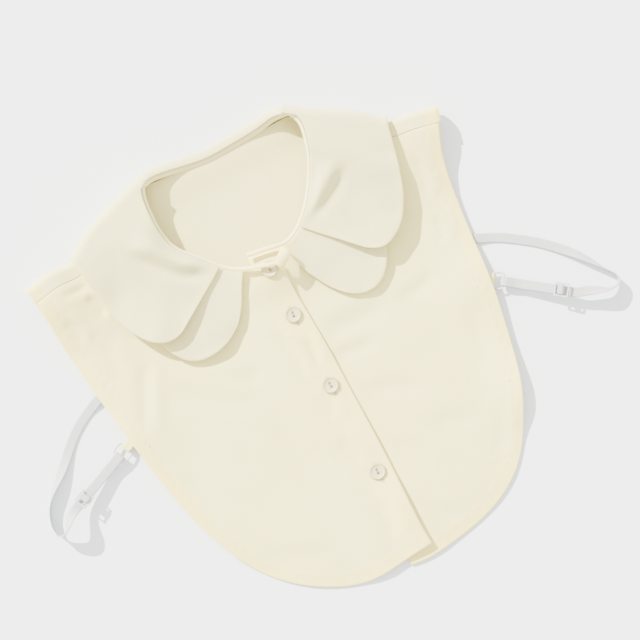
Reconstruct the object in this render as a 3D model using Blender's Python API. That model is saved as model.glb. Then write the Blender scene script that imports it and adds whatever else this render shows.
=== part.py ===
"""A detachable collar laid flat, face up: a bib front that buttons down the middle, a back panel,
a petal collar in two tiers, a bound neckline and an elastic at each side.

The neck points along +Y, the hem along -Y, and z = 0 is the surface that it lies on.
Sizes are in millimetres until MM turns them into metres. The tables' x = 0 runs through the
buttons and their y = 0 through the neck; the parent empty moves the whole to its middle.
"""

import math

import bmesh
import bpy
import numpy as np

MM = 0.001

# Driving dimensions
MIDDLE_X = 0.6
MIDDLE_Y = 120.15
CLOTH = 1.0
GAP = 0.3
PLY = CLOTH + GAP
BINDING_WIDTH = 3.6
SEAM_BACK_FROM_FOLD = 7.5
SHOULDER_ROLL = 6.2
ARM_ROLL = 7.5
BUTTON_RADIUS = 5.75
BUTTON_THICKNESS = 2.2
BUTTON_HOLE_RADIUS = 0.9
BUTTON_HOLE_SPACING = 2.6
ELASTIC_WIDTH = 6.0
RING_WIRE = 0.7
RING_HALF_LENGTH = 4.0
RING_HALF_WIDTH = 5.6
RING_HEIGHT = 2.65
SLIDER_HEIGHT = 3.4
TAB_LENGTH = 9.0
STRAP_RISE = 0.12
STRAP_RISE_START = 2.0
SLIDER_BAR = 1.0
SURFACE_MID = 0.5 * CLOTH
ROLL_SLACK = 1.6
PANEL_CORNER = 0.30
PETAL_TAIL = 14.0
BACK_ROLL_DEPTH = 3.4
COLLAR_JOIN_GAP = 1.3
BUTTON_LIFT = 0.2
SHOULDER_HEIGHT = SURFACE_MID + PLY + 2 * SHOULDER_ROLL
FRONT_REACH = 28.0
NECK_LIFT = 4.0
NECK_LIFT_REACH = 24.0
THROAT_LIFT = 5.0
THROAT_REACH = 16.0
THROAT = (6.0, -57.0)

# Columns: x, y. The seam between neck binding and collar, from the centre front round the left side.
NECK_LEFT = (
    (9.5, -60.0),
    (-5.0, -55.6),
    (-24.0, -46.3),
    (-37.2, -32.4),
    (-45.6, -23.0),
    (-51.8, -14.0),
    (-54.8, -1.0),
    (-55.0, 10.0),
    (-53.4, 25.0),
    (-50.5, 32.0),
)
# Columns: x, y. The same seam from the centre front round the right side.
NECK_RIGHT = (
    (-9.5, -44.0),
    (0.0, -45.6),
    (8.8, -47.2),
    (15.5, -48.0),
    (27.1, -44.4),
    (42.8, -30.4),
    (50.6, -19.8),
    (56.6, -9.9),
    (61.0, 0.1),
    (64.2, 12.2),
    (65.0, 22.0),
    (61.0, 31.5),
)
# Columns: x, y, height of the collar's roll. The rim of the neck at the back, left to right.
NECK_BACK = (
    (-50.5, 32.0, 17.0),
    (-44.0, 34.4, 12.5),
    (-34.0, 34.4, 9.4),
    (-20.0, 32.6, 7.4),
    (-6.0, 30.6, 6.8),
    (6.0, 30.4, 6.8),
    (25.0, 31.4, 7.2),
    (40.0, 32.6, 8.4),
    (50.0, 33.6, 11.0),
    (61.0, 31.5, 16.5),
)
# Columns: x, y. The shoulder's outer fold, from the neck to the arm.
FOLD_LEFT = (
    (-51.0, 39.6),
    (-70.0, 33.0),
    (-89.0, 26.6),
    (-104.0, 19.6),
    (-116.0, 12.4),
    (-132.0, 11.6),
    (-153.0, 8.0),
)
FOLD_RIGHT = (
    (60.5, 38.6),
    (72.0, 30.2),
    (84.0, 22.4),
    (104.0, 10.6),
    (118.0, -0.6),
    (132.0, -3.8),
    (152.5, -8.4),
)
# Columns: x, y. The front's armhole and hem, from the placket to the shoulder seam.
OUTER_LEFT = (
    (11.4, -273.6),
    (-8.0, -275.4),
    (-34.0, -277.2),
    (-57.5, -270.6),
    (-79.8, -257.3),
    (-96.9, -241.0),
    (-109.6, -221.6),
    (-120.4, -195.3),
    (-129.4, -163.0),
    (-137.4, -119.0),
    (-143.8, -79.6),
    (-148.6, -44.3),
    (-151.4, -8.0),
)
OUTER_RIGHT = (
    (-7.0, -280.4),
    (6.0, -281.6),
    (30.0, -279.0),
    (55.3, -273.2),
    (78.9, -261.6),
    (97.0, -243.6),
    (109.6, -221.0),
    (117.4, -201.0),
    (124.0, -174.0),
    (129.8, -142.0),
    (133.6, -105.0),
    (137.6, -66.0),
    (141.8, -42.0),
    (148.4, -24.5),
)
# Columns: x, y. The back panel's armholes and hem, from the left shoulder to the right one.
OUTER_BACK = (
    (-153.0, 1.0),
    (-148.8, -42.0),
    (-143.4, -79.0),
    (-136.4, -119.0),
    (-127.6, -163.0),
    (-118.0, -194.0),
    (-106.8, -219.5),
    (-94.0, -238.0),
    (-77.0, -253.5),
    (-55.0, -266.0),
    (-28.0, -272.5),
    (0.0, -274.5),
    (28.0, -274.0),
    (54.0, -269.0),
    (76.0, -257.8),
    (94.0, -240.4),
    (107.0, -218.6),
    (115.0, -199.0),
    (121.6, -173.0),
    (127.8, -141.0),
    (132.0, -105.0),
    (136.8, -66.0),
    (144.0, -39.0),
    (152.5, -16.0),
)
# Columns: x, y. A petal's front edge from the neck out, then its outer edge on to the fold.
UPPER_LEFT_FRONT = ((-30.0, -41.6), (-39.5, -48.4), (-48.8, -54.4), (-60.8, -62.4), (-71.8, -69.6))
UPPER_LEFT_EDGE = (
    (-71.8, -69.6),
    (-80.4, -71.6),
    (-89.2, -69.2),
    (-96.7, -62.8),
    (-102.6, -53.6),
    (-107.2, -42.6),
    (-110.8, -26.0),
    (-113.8, -9.2),
    (-115.4, 4.8),
)
UPPER_RIGHT_FRONT = ((32.4, -42.6), (41.3, -51.6), (49.4, -59.8), (56.6, -67.4), (64.6, -75.6))
UPPER_RIGHT_EDGE = (
    (64.6, -75.6),
    (74.9, -80.6),
    (84.3, -78.6),
    (92.6, -73.0),
    (99.5, -64.4),
    (105.1, -53.6),
    (109.3, -41.2),
    (112.8, -28.2),
    (115.6, -15.7),
    (117.4, -8.4),
)
LOWER_LEFT_FRONT = ((-17.1, -51.8), (-21.6, -59.2), (-27.6, -70.4), (-35.6, -81.4))
LOWER_LEFT_EDGE = (
    (-35.6, -81.4),
    (-46.6, -88.8),
    (-58.5, -92.4),
    (-69.2, -92.0),
    (-78.2, -87.4),
    (-85.7, -76.9),
    (-88.8, -64.0),
    (-86.0, -48.0),
    (-76.0, -32.0),
)
LOWER_RIGHT_FRONT = ((15.2, -50.2), (18.2, -59.0), (22.2, -71.4), (29.6, -84.4))
LOWER_RIGHT_EDGE = (
    (29.6, -84.4),
    (38.4, -95.6),
    (49.3, -101.8),
    (60.0, -101.8),
    (69.5, -95.6),
    (76.6, -84.0),
    (80.6, -66.0),
    (80.0, -48.0),
    (74.0, -32.0),
)
# Columns: x, y. The hem of the collar's back stretch, which lies under the back panel.
UNDER_COLLAR_EDGE = (
    (-112.0, -12.0),
    (-88.0, -26.0),
    (-50.0, -36.5),
    (0.0, -40.0),
    (48.0, -39.5),
    (80.0, -35.0),
    (101.0, -27.0),
)
# Columns: name, x, y. The middle of each button.
BUTTONS = (
    ("button_neck", 0.1, -58.6),
    ("button_1", 0.2, -93.2),
    ("button_2", 0.4, -147.7),
    ("button_3", 1.5, -214.3),
)
# Columns: share of the way along, slope down towards the opening. The binding's lean.
DROPS_LEFT = ((0.0, 0.12), (0.1, 0.12), (0.5, 1.5), (0.86, 1.6), (1.0, 1.1))
DROPS_RIGHT = ((0.0, 0.3), (0.1, 0.3), (0.45, 1.1), (0.86, 1.2), (1.0, 1.0))
DROPS_BACK = ((0.0, 1.0), (0.16, 0.5), (0.84, 0.5), (1.0, 1.0))
# Columns: x, y, height of the elastic's lower side, tilt in degrees (0 lies flat, 90 stands on edge).
ELASTIC_RIGHT = (
    (124.0, -99.6, 1.35, 0),
    (131.0, -102.2, 1.4, 0),
    (137.4, -104.8, 1.0, 0),
    (145.0, -108.2, 0.1, 0),
    (152.0, -111.8, 0.08, 0),
    (161.0, -117.8, 0.08, 0),
    (171.0, -125.2, 0.08, 0),
    (182.0, -135.2, 0.08, 6),
    (192.4, -146.5, 0.08, 30),
    (201.0, -158.6, 0.08, 66),
    (206.8, -167.6, 0.12, 88),
    (209.0, -172.6, 0.35, 92),
    (207.6, -176.6, 1.2, 96),
    (202.4, -177.6, 3.2, 100),
    (195.0, -175.8, 6.0, 130),
    (186.0, -172.0, 7.4, 168),
    (178.0, -168.9, 7.1, 180),
    (170.5, -163.4, 6.06, 180),
    (160.9, -156.2, 4.62, 180),
    (151.3, -149.0, 3.18, 180),
    (145.4, -144.6, 2.57, 180),
    (141.4, -141.6, 2.28, 180),
)
ELASTIC_LEFT = (
    (-131.0, -79.6, 1.35, 0),
    (-138.0, -81.2, 1.4, 0),
    (-146.4, -84.0, 1.1, 0),
    (-153.0, -87.0, 0.1, 0),
    (-160.0, -90.6, 0.08, 0),
    (-169.3, -97.0, 0.08, 0),
    (-179.0, -106.0, 0.08, -6),
    (-189.0, -116.0, 0.08, -30),
    (-199.0, -125.0, 0.08, -66),
    (-206.4, -134.0, 0.08, -86),
    (-209.8, -143.0, 0.15, -90),
    (-210.1, -150.0, 1.2, -90),
    (-207.4, -154.4, 4.0, -92),
    (-202.4, -153.2, 9.0, -108),
    (-196.4, -147.4, 11.2, -145),
    (-190.4, -142.8, 8.2, -175),
    (-183.0, -139.5, 5.69, -180),
    (-172.0, -134.6, 4.25, -180),
    (-163.0, -130.7, 3.07, -180),
    (-156.4, -127.8, 2.47, -180),
    (-152.6, -126.1, 2.27, -180),
)
# Columns: x, y. The free edge of each front along the buttons, from under the collar to the hem.
PLACKET_LEFT = (
    (8.6, -76.0),
    (10.2, -110.0),
    (11.2, -157.0),
    (11.5, -217.0),
    (10.6, -256.0),
    (11.4, -273.6),
)
PLACKET_RIGHT = ((-9.5, -80.0), (-9.0, -157.0), (-8.6, -217.0), (-7.0, -280.4))
# Columns: x, y. The back panel's edge at the neck, under the collar's roll.
PANEL_RIM = ((-52.0, 30.6), (-34.0, 29.6), (0.0, 27.4), (40.0, 28.4), (58.0, 29.0))
# Columns: side's name, ring's middle (x, y), slider's middle (x, y).
ELASTIC_FITTINGS = (
    ("right", 135.4, -137.1, 170.5, -163.4),
    ("left", -145.7, -123.1, -183.0, -139.5),
)


def natural_spline(rows, samples=240):
    """Evenly spaced points on a natural cubic spline through the rows."""
    points = np.array(rows, float)
    steps = np.sqrt(np.linalg.norm(np.diff(points[:, :2], axis=0), axis=1))
    knots = np.concatenate([[0.0], np.cumsum(steps)])
    count = len(points)
    system = np.eye(count)
    right = np.zeros_like(points)
    for i in range(1, count - 1):
        before, after = steps[i - 1], steps[i]
        system[i, i - 1 : i + 2] = before, 2 * (before + after), after
        slope_after = (points[i + 1] - points[i]) / after
        slope_before = (points[i] - points[i - 1]) / before
        right[i] = 6 * (slope_after - slope_before)
    bend = np.linalg.solve(system, right)
    at = np.linspace(0, knots[-1], 8 * samples)
    i = np.clip(np.searchsorted(knots, at, side="right") - 1, 0, count - 2)
    step = steps[i][:, None]
    a = (knots[i + 1] - at)[:, None] / step
    b = 1 - a
    curve = a * points[i] + b * points[i + 1]
    curve += ((a**3 - a) * bend[i] + (b**3 - b) * bend[i + 1]) * step**2 / 6
    return respaced(curve, samples)


def respaced(curve, samples):
    """The curve again with this many points, evenly spaced along it."""
    curve = np.asarray(curve, float)
    run = np.linalg.norm(np.diff(curve[:, :2], axis=0), axis=1)
    length = np.concatenate([[0.0], np.cumsum(run)])
    at = np.linspace(0, length[-1], samples)
    return np.stack([np.interp(at, length, column) for column in curve.T], axis=1)


def along(curve, t):
    """Points of an evenly spaced curve at the fractions t of its length."""
    at = np.clip(t, 0, 1) * (len(curve) - 1)
    i = np.arange(len(curve))
    return np.stack([np.interp(at, i, column) for column in curve.T], axis=-1)


def shifted(curve, distance):
    """A plan curve moved sideways, to the left of its direction where the distance is positive."""
    way = np.gradient(curve[:, :2], axis=0)
    way /= np.linalg.norm(way, axis=1)[:, None]
    moved = np.array(curve, float)
    moved[:, 0] -= np.asarray(distance) * way[:, 1]
    moved[:, 1] += np.asarray(distance) * way[:, 0]
    return moved


def crossing(first, second):
    """The places, as indices, where two plan curves come nearest to each other."""
    apart = np.linalg.norm(first[:, None, :2] - second[None, :, :2], axis=2)
    return np.unravel_index(apart.argmin(), apart.shape)


def smooth_step(x):
    x = np.clip(x, 0, 1)
    return x * x * (3 - 2 * x)


def coons(inner, outer, first, last, us, vs):
    """A plan patch: inner and outer run along u, and first and last run along v between them."""
    u, v = np.meshgrid(us, vs, indexing="ij")
    u, v = u[..., None], v[..., None]
    a, b = along(inner, us)[:, None, :2], along(outer, us)[:, None, :2]
    c, d = along(first, vs)[None, :, :2], along(last, vs)[None, :, :2]
    corners = (1 - u) * (1 - v) * inner[0, :2] + u * (1 - v) * inner[-1, :2]
    corners = corners + (1 - u) * v * outer[0, :2] + u * v * outer[-1, :2]
    return (1 - v) * a + v * b + (1 - u) * c + u * d - corners


CURVE_NECK_LEFT = natural_spline(NECK_LEFT)
CURVE_NECK_RIGHT = natural_spline(NECK_RIGHT)
CURVE_NECK_BACK = natural_spline(NECK_BACK)
NECK_POINTS = np.concatenate([CURVE_NECK_LEFT[::4], CURVE_NECK_RIGHT[::4]])
CURVE_UNDER_COLLAR = natural_spline(UNDER_COLLAR_EDGE)
CURVE_FOLD = {-1: natural_spline(FOLD_LEFT), 1: natural_spline(FOLD_RIGHT)}


def roll_axis(side, radius):
    """The plan curve where a roll of this radius leaves the flat, from the neck out to the arm."""
    return shifted(CURVE_FOLD[side], -side * radius)


PANEL_AXIS = {side: roll_axis(side, SHOULDER_ROLL + ROLL_SLACK) for side in (-1, 1)}
PANEL_SEAM = {
    side: roll_axis(side, SHOULDER_ROLL + ROLL_SLACK + SEAM_BACK_FROM_FOLD) for side in (-1, 1)
}


def curve_y(curve, x):
    order = np.argsort(curve[:, 0])
    return np.interp(x, curve[order, 0], curve[order, 1])


def below_seam(x, y):
    """How far a point lies towards the hem from the shoulder seams, 0 above them."""
    left = curve_y(PANEL_SEAM[-1], x)
    right = curve_y(PANEL_SEAM[1], x)
    seam = np.where(x < 0, left, right)
    return np.maximum(seam - y, 0)


def neck_distance(x, y):
    dx = x[..., None] - NECK_POINTS[:, 0]
    dy = y[..., None] - NECK_POINTS[:, 1]
    return np.sqrt(dx * dx + dy * dy).min(axis=-1)


def shoulder_height(x):
    """The middle of the cloth where it runs flat over the shoulder."""
    dip = 1.2 * np.exp(-(((np.abs(x) - 128) / 10) ** 2))
    return SHOULDER_HEIGHT - 1.6 * smooth_step((np.abs(x) - 118) / 34) - dip


def back_height(x, y):
    """The middle of the back panel: flat on the surface, one ply up over the collar's back stretch."""
    over_collar = smooth_step((y - curve_y(CURVE_UNDER_COLLAR, x) + 42) / 18)
    rim = 1.8 * smooth_step((y - 6) / 24) * smooth_step((66 - np.abs(x)) / 14)
    return SURFACE_MID + PLY * over_collar + rim


def front_height(x, y):
    """The middle of a front panel: high at the shoulders, raised round the neck, low over the chest."""
    below = below_seam(x, y)
    chest = back_height(x, y) + PLY + 0.35
    fall = np.exp(-((below / FRONT_REACH) ** 2))
    height = chest + (shoulder_height(x) - chest) * fall
    near_neck = np.exp(-((neck_distance(x, y) / NECK_LIFT_REACH) ** 2))
    off_seam = 1 - np.exp(-((below / 16) ** 2))
    above_chest = smooth_step((y + 50) / 30)
    height = height + NECK_LIFT * near_neck * off_seam * above_chest
    right_edge = smooth_step((x - 80) / 40) * smooth_step((-30 - y) / 40)
    over_right_tab = np.exp(-(((y + 132) / 24) ** 2))
    over_left_tab = np.exp(-(((y + 118) / 22) ** 2))
    right_edge = right_edge * (0.25 + np.exp(-(((y + 208) / 36) ** 2)) + 0.8 * over_right_tab)
    lower_edge = smooth_step((-214 - y) / 60)
    left_edge = smooth_step((-x - 100) / 40) * smooth_step((-30 - y) / 40)
    left_edge = left_edge * (0.5 + 0.5 * over_left_tab)
    height = height + 4.4 * right_edge + 0.6 * lower_edge + 3.2 * left_edge
    trough = np.exp(-(((x + 72 + 0.1 * y) / 16) ** 2)) * smooth_step((-86 - y) / 26)
    trough = trough * smooth_step((y + 200) / 60)
    throat = ((x - THROAT[0]) ** 2 + (y - THROAT[1]) ** 2) / THROAT_REACH**2
    return height + 1.2 * trough + THROAT_LIFT * np.exp(-throat)


def over_front_height(x, y):
    """The left front, which laps one ply over the right one at the placket."""
    return front_height(x, y) + (PLY + 0.8) * smooth_step((x + 46) / 28)


def wall(name, middle, thickness, colour):
    """A closed sheet through a grid of middle points, half the thickness out on each side."""
    along_u = np.gradient(middle, axis=0)
    along_v = np.gradient(middle, axis=1)
    normal = np.cross(along_u, along_v)
    normal /= np.linalg.norm(normal, axis=2)[..., None]
    sides = [middle + normal * thickness / 2, middle - normal * thickness / 2]
    rows, columns = middle.shape[:2]
    mesh = bmesh.new()
    grids = []
    for side in sides:
        points = [mesh.verts.new(p * MM) for p in side.reshape(-1, 3)]
        grids.append([points[i * columns : (i + 1) * columns] for i in range(rows)])
    for grid in grids:
        for i in range(rows - 1):
            for j in range(columns - 1):
                corners = (grid[i][j], grid[i + 1][j], grid[i + 1][j + 1], grid[i][j + 1])
                mesh.faces.new(corners)
    rim = [(i, 0) for i in range(rows)]
    rim += [(rows - 1, j) for j in range(1, columns)]
    rim += [(i, columns - 1) for i in range(rows - 2, -1, -1)]
    rim += [(0, j) for j in range(columns - 2, 0, -1)]
    for (i, j), (k, m) in zip(rim, rim[1:] + rim[:1]):
        mesh.faces.new((grids[0][i][j], grids[0][k][m], grids[1][k][m], grids[1][i][j]))
    return finish(name, mesh, colour)


def finish(name, mesh, colour, roughness=0.85, metallic=0.0, sharp=40.0):
    """Turns a bmesh into a named object with its own material, faces out and shaded smooth."""
    bmesh.ops.recalc_face_normals(mesh, faces=mesh.faces[:])
    data = bpy.data.meshes.new(name)
    mesh.to_mesh(data)
    mesh.free()
    data.shade_smooth()
    data.set_sharp_from_angle(angle=math.radians(sharp))
    material = bpy.data.materials.new(name)
    material.use_nodes = True
    shader = material.node_tree.nodes["Principled BSDF"]
    shader.inputs["Base Color"].default_value = (*colour, 1.0)
    shader.inputs["Roughness"].default_value = roughness
    shader.inputs["Metallic"].default_value = metallic
    data.materials.append(material)
    made = bpy.data.objects.new(name, data)
    bpy.context.scene.collection.objects.link(made)
    made.parent = bpy.data.objects["garment"]
    return made


CREAM = (0.84, 0.81, 0.68)
PEARL = (0.80, 0.77, 0.68)
WHITE = (0.78, 0.79, 0.80)


def make_back_panel():
    """The back: flat, with a strip at each shoulder that rolls over to the seam on top."""
    us = np.linspace(0, 1, 45)
    outline = natural_spline(OUTER_BACK)
    first, last = int(PANEL_CORNER * len(outline)), int((1 - PANEL_CORNER) * len(outline))
    left_side = respaced(outline[: first + 1], 240)
    bottom = respaced(outline[first : last + 1], 240)
    right_side = respaced(outline[last:], 240)[::-1]
    rim = natural_spline(PANEL_RIM)
    left_axis = PANEL_AXIS[-1][PANEL_AXIS[-1][:, 0] < -56.0]
    right_axis = PANEL_AXIS[1][PANEL_AXIS[1][:, 0] > 64.0]
    top = np.concatenate([left_axis[::-1], rim, right_axis])
    top = respaced(top, 480)
    top[0], top[-1] = left_side[0], right_side[0]
    flat_rows = np.linspace(0, 1, 13)
    base = coons(bottom, top, left_side[::-1], right_side[::-1], us, flat_rows)
    ends = base[:, -1]
    neck_left, neck_right = -61.0, 72.0
    reach = np.where(ends[:, 0] < 0, neck_left - ends[:, 0], ends[:, 0] - neck_right)
    rolled = smooth_step(reach / 5.0)
    roll_rows = 9
    middle = np.zeros((len(us), len(flat_rows) + roll_rows, 3))
    height = back_height(base[..., 0], base[..., 1])
    middle[:, : len(flat_rows), :2] = base
    middle[:, : len(flat_rows), 2] = height
    for i, end in enumerate(ends):
        side = -1 if end[0] < 0 else 1
        axis = PANEL_AXIS[side]
        near = np.linalg.norm(axis[:, :2] - end, axis=1).argmin()
        way = np.gradient(axis[:, :2], axis=0)[near]
        out = np.array([-way[1], way[0]]) * side
        out = out / np.linalg.norm(out)
        low = height[i, -1]
        radius = (shoulder_height(end[0]) - low) / 2
        total = 2.0 + rolled[i] * (math.pi * radius + SEAM_BACK_FROM_FOLD - 2 * GAP - 2.0)
        for k in range(roll_rows):
            run = total * (k + 1) / roll_rows
            angle = min(run / radius, math.pi)
            back = max(run - math.pi * radius, 0.0)
            place = end + out * (radius * math.sin(angle) - back)
            lift = radius * (1 - math.cos(angle))
            middle[i, len(flat_rows) + k] = (*place, low + lift)
    wall("back_panel", middle, CLOTH, CREAM)


def make_front(name, neck, outer, placket, side, height):
    """A front panel, fanned from the neck seam out to its armhole and hem."""
    us = np.linspace(0, 1, 27)
    vs = np.linspace(0, 1, 13)
    neck_edge = shifted(neck, -side * 0.4)
    neck_cut, seam_cut = crossing(neck_edge, PANEL_SEAM[side])
    seam = PANEL_SEAM[side][seam_cut + 2 :]
    neck_run = respaced(np.concatenate([neck_edge[: neck_cut - 3, :2], seam[:1, :2]]), 240)
    first = natural_spline([tuple(neck_run[0]), *placket])
    last = respaced(seam[:, :2], 240)
    outline = np.array(outer)
    outline[-1, :2] = seam[-1, :2]
    outline = natural_spline(outline)
    plan = coons(neck_run, outline, first, last, us, vs)
    middle = np.dstack([plan, height(plan[..., 0], plan[..., 1])])
    wall(name, middle, CLOTH, CREAM)


def binding_top(side):
    """The neck seam of one front with the height of the binding's top edge as its third column."""
    curve = CURVE_NECK_LEFT if side < 0 else CURVE_NECK_RIGHT
    height = over_front_height if side < 0 else front_height
    t = np.linspace(0, 1, len(curve))
    lift = 5.2 - smooth_step((t - 0.12) / 0.25)
    top = height(curve[:, 0], curve[:, 1]) + lift
    corner = CURVE_NECK_BACK[0 if side < 0 else -1, 2]
    top = top + (corner - top) * smooth_step((t - 0.72) / 0.28)
    return np.column_stack([curve[:, :2], top])


def make_binding(name, curve, inward, drops, width, count):
    """A narrow strip from the neck seam in towards the opening, and down by its slope, the drop."""
    share_along = np.linspace(0, 1, count)
    seam = along(curve, share_along)
    drop = np.interp(share_along, *np.array(drops).T)
    plan = width / np.sqrt(1 + drop**2)
    middle = np.zeros((count, 3, 3))
    for k, share in enumerate((0.0, 0.5, 1.0)):
        moved = shifted(seam, inward * plan * share)
        middle[:, k, :2] = moved[:, :2]
        middle[:, k, 2] = seam[:, 2] - drop * plan * share
    wall(name, middle, CLOTH, CREAM)


def petal_heights(under, seam_top, start, edge_height, fold_height, clearance, ease=1.0, swell=0.0):
    """Heights over a petal, from the neck seam to its edge, clear of the cloth below."""
    count, steps = under.shape
    u = np.linspace(0, 1, count)[:, None]
    v = np.linspace(0, 1, steps)[None, :]
    outer = edge_height + (fold_height - edge_height) * smooth_step((u - 0.4) / 0.6)
    outer = outer + swell * np.sin(math.pi * np.clip((u - 0.22) / 0.7, 0, 1)) ** 2
    inner = seam_top[:, None] + start
    share = smooth_step(0.85 * v**ease) / smooth_step(0.85)
    return np.maximum(inner * (1 - share) + outer * share, under + clearance)


def make_upper_petal(name, side, front, edge, edge_height, swell):
    """A large petal, from its front edge round to the shoulder, over the fold and a little way under."""
    height = over_front_height if side < 0 else front_height
    seam = binding_top(side)
    begin = np.linalg.norm(seam[:, :2] - np.array(front[0]), axis=1).argmin()
    us, vs = np.linspace(0, 1, 15), np.linspace(0, 1, 8)
    inner = shifted(respaced(seam[begin:], 240), -side * 0.8)
    first = natural_spline([tuple(inner[0, :2]), *front[1:]])
    fold = roll_axis(side, ARM_ROLL)
    reach = np.linalg.norm(fold[:, :2] - np.array(edge[-1]), axis=1).argmin()
    last = respaced(fold[: reach + 1, :2], 240)
    inner[-12:, :2] += (last[0] - inner[-1, :2]) * smooth_step(np.arange(12) / 11)[:, None]
    outline = natural_spline([*edge[:-1], tuple(last[-1])])
    plan = coons(inner, outline, first, last, us, vs)
    base = np.where(
        below_seam(plan[..., 0], plan[..., 1]) > 0,
        height(plan[..., 0], plan[..., 1]),
        shoulder_height(plan[..., 0]),
    )
    over_shoulder = SHOULDER_HEIGHT + PLY
    z = petal_heights(base, along(inner, us)[:, 2], PLY + 0.2, edge_height, over_shoulder, PLY, 1.0, swell)
    top = np.dstack([plan, z])
    roll_steps = 11
    rolled = np.zeros((roll_steps, len(vs), 3))
    way = np.gradient(along(last, vs), axis=0)
    out = np.stack([-way[:, 1], way[:, 0]], axis=1) * side
    out /= np.linalg.norm(out, axis=1)[:, None]
    high = top[-1, :, 2]
    radius = (high - SURFACE_MID) / 2
    tail = PETAL_TAIL * vs
    for k in range(roll_steps):
        run = (k + 1) / roll_steps * (math.pi * radius + tail)
        angle = np.minimum(run / radius, math.pi)
        back = np.maximum(run - math.pi * radius, 0)
        shift = ARM_ROLL * np.sin(angle) - back
        rolled[k, :, :2] = top[-1, :, :2] + out * shift[:, None]
        rolled[k, :, 2] = high - radius * (1 - np.cos(angle))
    wall(name, np.concatenate([top, rolled]), CLOTH, CREAM)


def make_lower_petal(name, side, front, edge, edge_height, side_height):
    """A small petal under the large one, beside the centre front."""
    height = over_front_height if side < 0 else front_height
    seam = binding_top(side)
    begin = np.linalg.norm(seam[:, :2] - np.array(front[0]), axis=1).argmin()
    close = np.linalg.norm(seam[:, :2] - np.array([side * 54.0, -8.0]), axis=1).argmin()
    us, vs = np.linspace(0, 1, 13), np.linspace(0, 1, 7)
    inner = shifted(respaced(seam[begin:close], 240), -side * 1.2)
    first = natural_spline([tuple(inner[0, :2]), *front[1:]])
    last = respaced([tuple(inner[-1, :2]), edge[-1]], 240)
    outline = natural_spline(edge)
    plan = coons(inner, outline, first, last, us, vs)
    under = height(plan[..., 0], plan[..., 1])
    z = petal_heights(under, along(inner, us)[:, 2], -0.6, edge_height, side_height, PLY + 0.2, 0.7)
    wall(name, np.dstack([plan, z]), CLOTH, CREAM)


def make_back_collar():
    """The collar's stretch round the back of the neck: out over the rim, then under the back panel."""
    count = 29
    share = np.linspace(0, 1, count)
    seam = along(CURVE_NECK_BACK, share)
    out = np.column_stack([np.zeros(count), np.ones(count)])
    depth = np.full((count, 1), BACK_ROLL_DEPTH)
    for side, corner in ((-1, seam[0, :2].copy()), (1, seam[-1, :2].copy())):
        axis = roll_axis(side, ARM_ROLL)[:, :2]
        way = (axis[4] - axis[0]) / np.linalg.norm(axis[4] - axis[0])
        toward_fold = side * np.array([-way[1], way[0]])
        near = smooth_step((2 * side * (share - 0.5) - 0.72) / 0.28)[:, None]
        seam[:, :2] += near * (axis[0] - COLLAR_JOIN_GAP * way - corner)
        out += near * (toward_fold - out)
        depth += near * (ARM_ROLL - depth)
    hem_points = along(CURVE_UNDER_COLLAR, share)
    roll_steps, flat_steps = 8, 6
    middle = np.zeros((count, roll_steps + flat_steps, 3))
    high = seam[:, 2] + PLY
    radius = (high - SURFACE_MID) / 2
    for k in range(roll_steps):
        angle = math.pi * k / (roll_steps - 1)
        middle[:, k, :2] = seam[:, :2] + out * depth * math.sin(angle)
        middle[:, k, 2] = SURFACE_MID + radius * (1 + math.cos(angle))
    rolled = middle[:, roll_steps - 1, :2].copy()
    for k in range(flat_steps):
        flat_share = (k + 1) / flat_steps
        middle[:, roll_steps + k, :2] = rolled * (1 - flat_share) + hem_points * flat_share
        middle[:, roll_steps + k, 2] = SURFACE_MID
    wall("collar_back", middle, CLOTH, CREAM)


def make_button(name, x, y):
    """A two-hole button with a raised rim, on the panel's own slope."""
    mesh = bmesh.new()
    half = BUTTON_THICKNESS / 2
    radius = BUTTON_RADIUS
    # Columns: radius, height above the middle.
    profile = (
        (0.0, -half),
        (radius - 0.8, -half),
        (radius, -0.3),
        (radius, 0.5),
        (radius - 0.6, half),
        (radius - 1.5, half),
        (radius - 2.3, 0.4),
        (0.0, 0.3),
    )
    verts = [mesh.verts.new((r * MM, 0, z * MM)) for r, z in profile]
    edges = [mesh.edges.new(pair) for pair in zip(verts, verts[1:])]
    bmesh.ops.spin(
        mesh,
        geom=verts + edges,
        cent=(0, 0, 0),
        axis=(0, 0, 1),
        angle=2 * math.pi,
        steps=20,
        use_merge=True,
    )
    bmesh.ops.remove_doubles(mesh, verts=mesh.verts[:], dist=0.01 * MM)
    button = finish(name, mesh, PEARL, roughness=0.3)
    step = 3.0
    at = np.array([x, x + step, x - step, x, x])
    up = np.array([y, y, y, y + step, y - step])
    heights = over_front_height(at, up)
    slope_x = (heights[1] - heights[2]) / (2 * step)
    slope_y = (heights[3] - heights[4]) / (2 * step)
    clear = BUTTON_LIFT + CLOTH / 2 + GAP + half
    button.location = (x * MM, y * MM, (heights[0] + clear) * MM)
    button.rotation_euler = (math.atan(slope_y), -math.atan(slope_x), 0)
    holes = bmesh.new()
    for offset in (-BUTTON_HOLE_SPACING / 2, BUTTON_HOLE_SPACING / 2):
        made = bmesh.ops.create_cone(
            holes,
            cap_ends=True,
            segments=8,
            radius1=BUTTON_HOLE_RADIUS * MM,
            radius2=BUTTON_HOLE_RADIUS * MM,
            depth=4 * BUTTON_THICKNESS * MM,
        )
        bmesh.ops.translate(holes, verts=made["verts"], vec=(0, offset * MM, 0))
    cutter = finish(name + "_holes", holes, PEARL)
    cutter.location = button.location
    cutter.rotation_euler = button.rotation_euler
    cutter.hide_render = True
    cutter.display_type = "WIRE"
    cut = button.modifiers.new("holes", "BOOLEAN")
    cut.object = cutter


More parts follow.
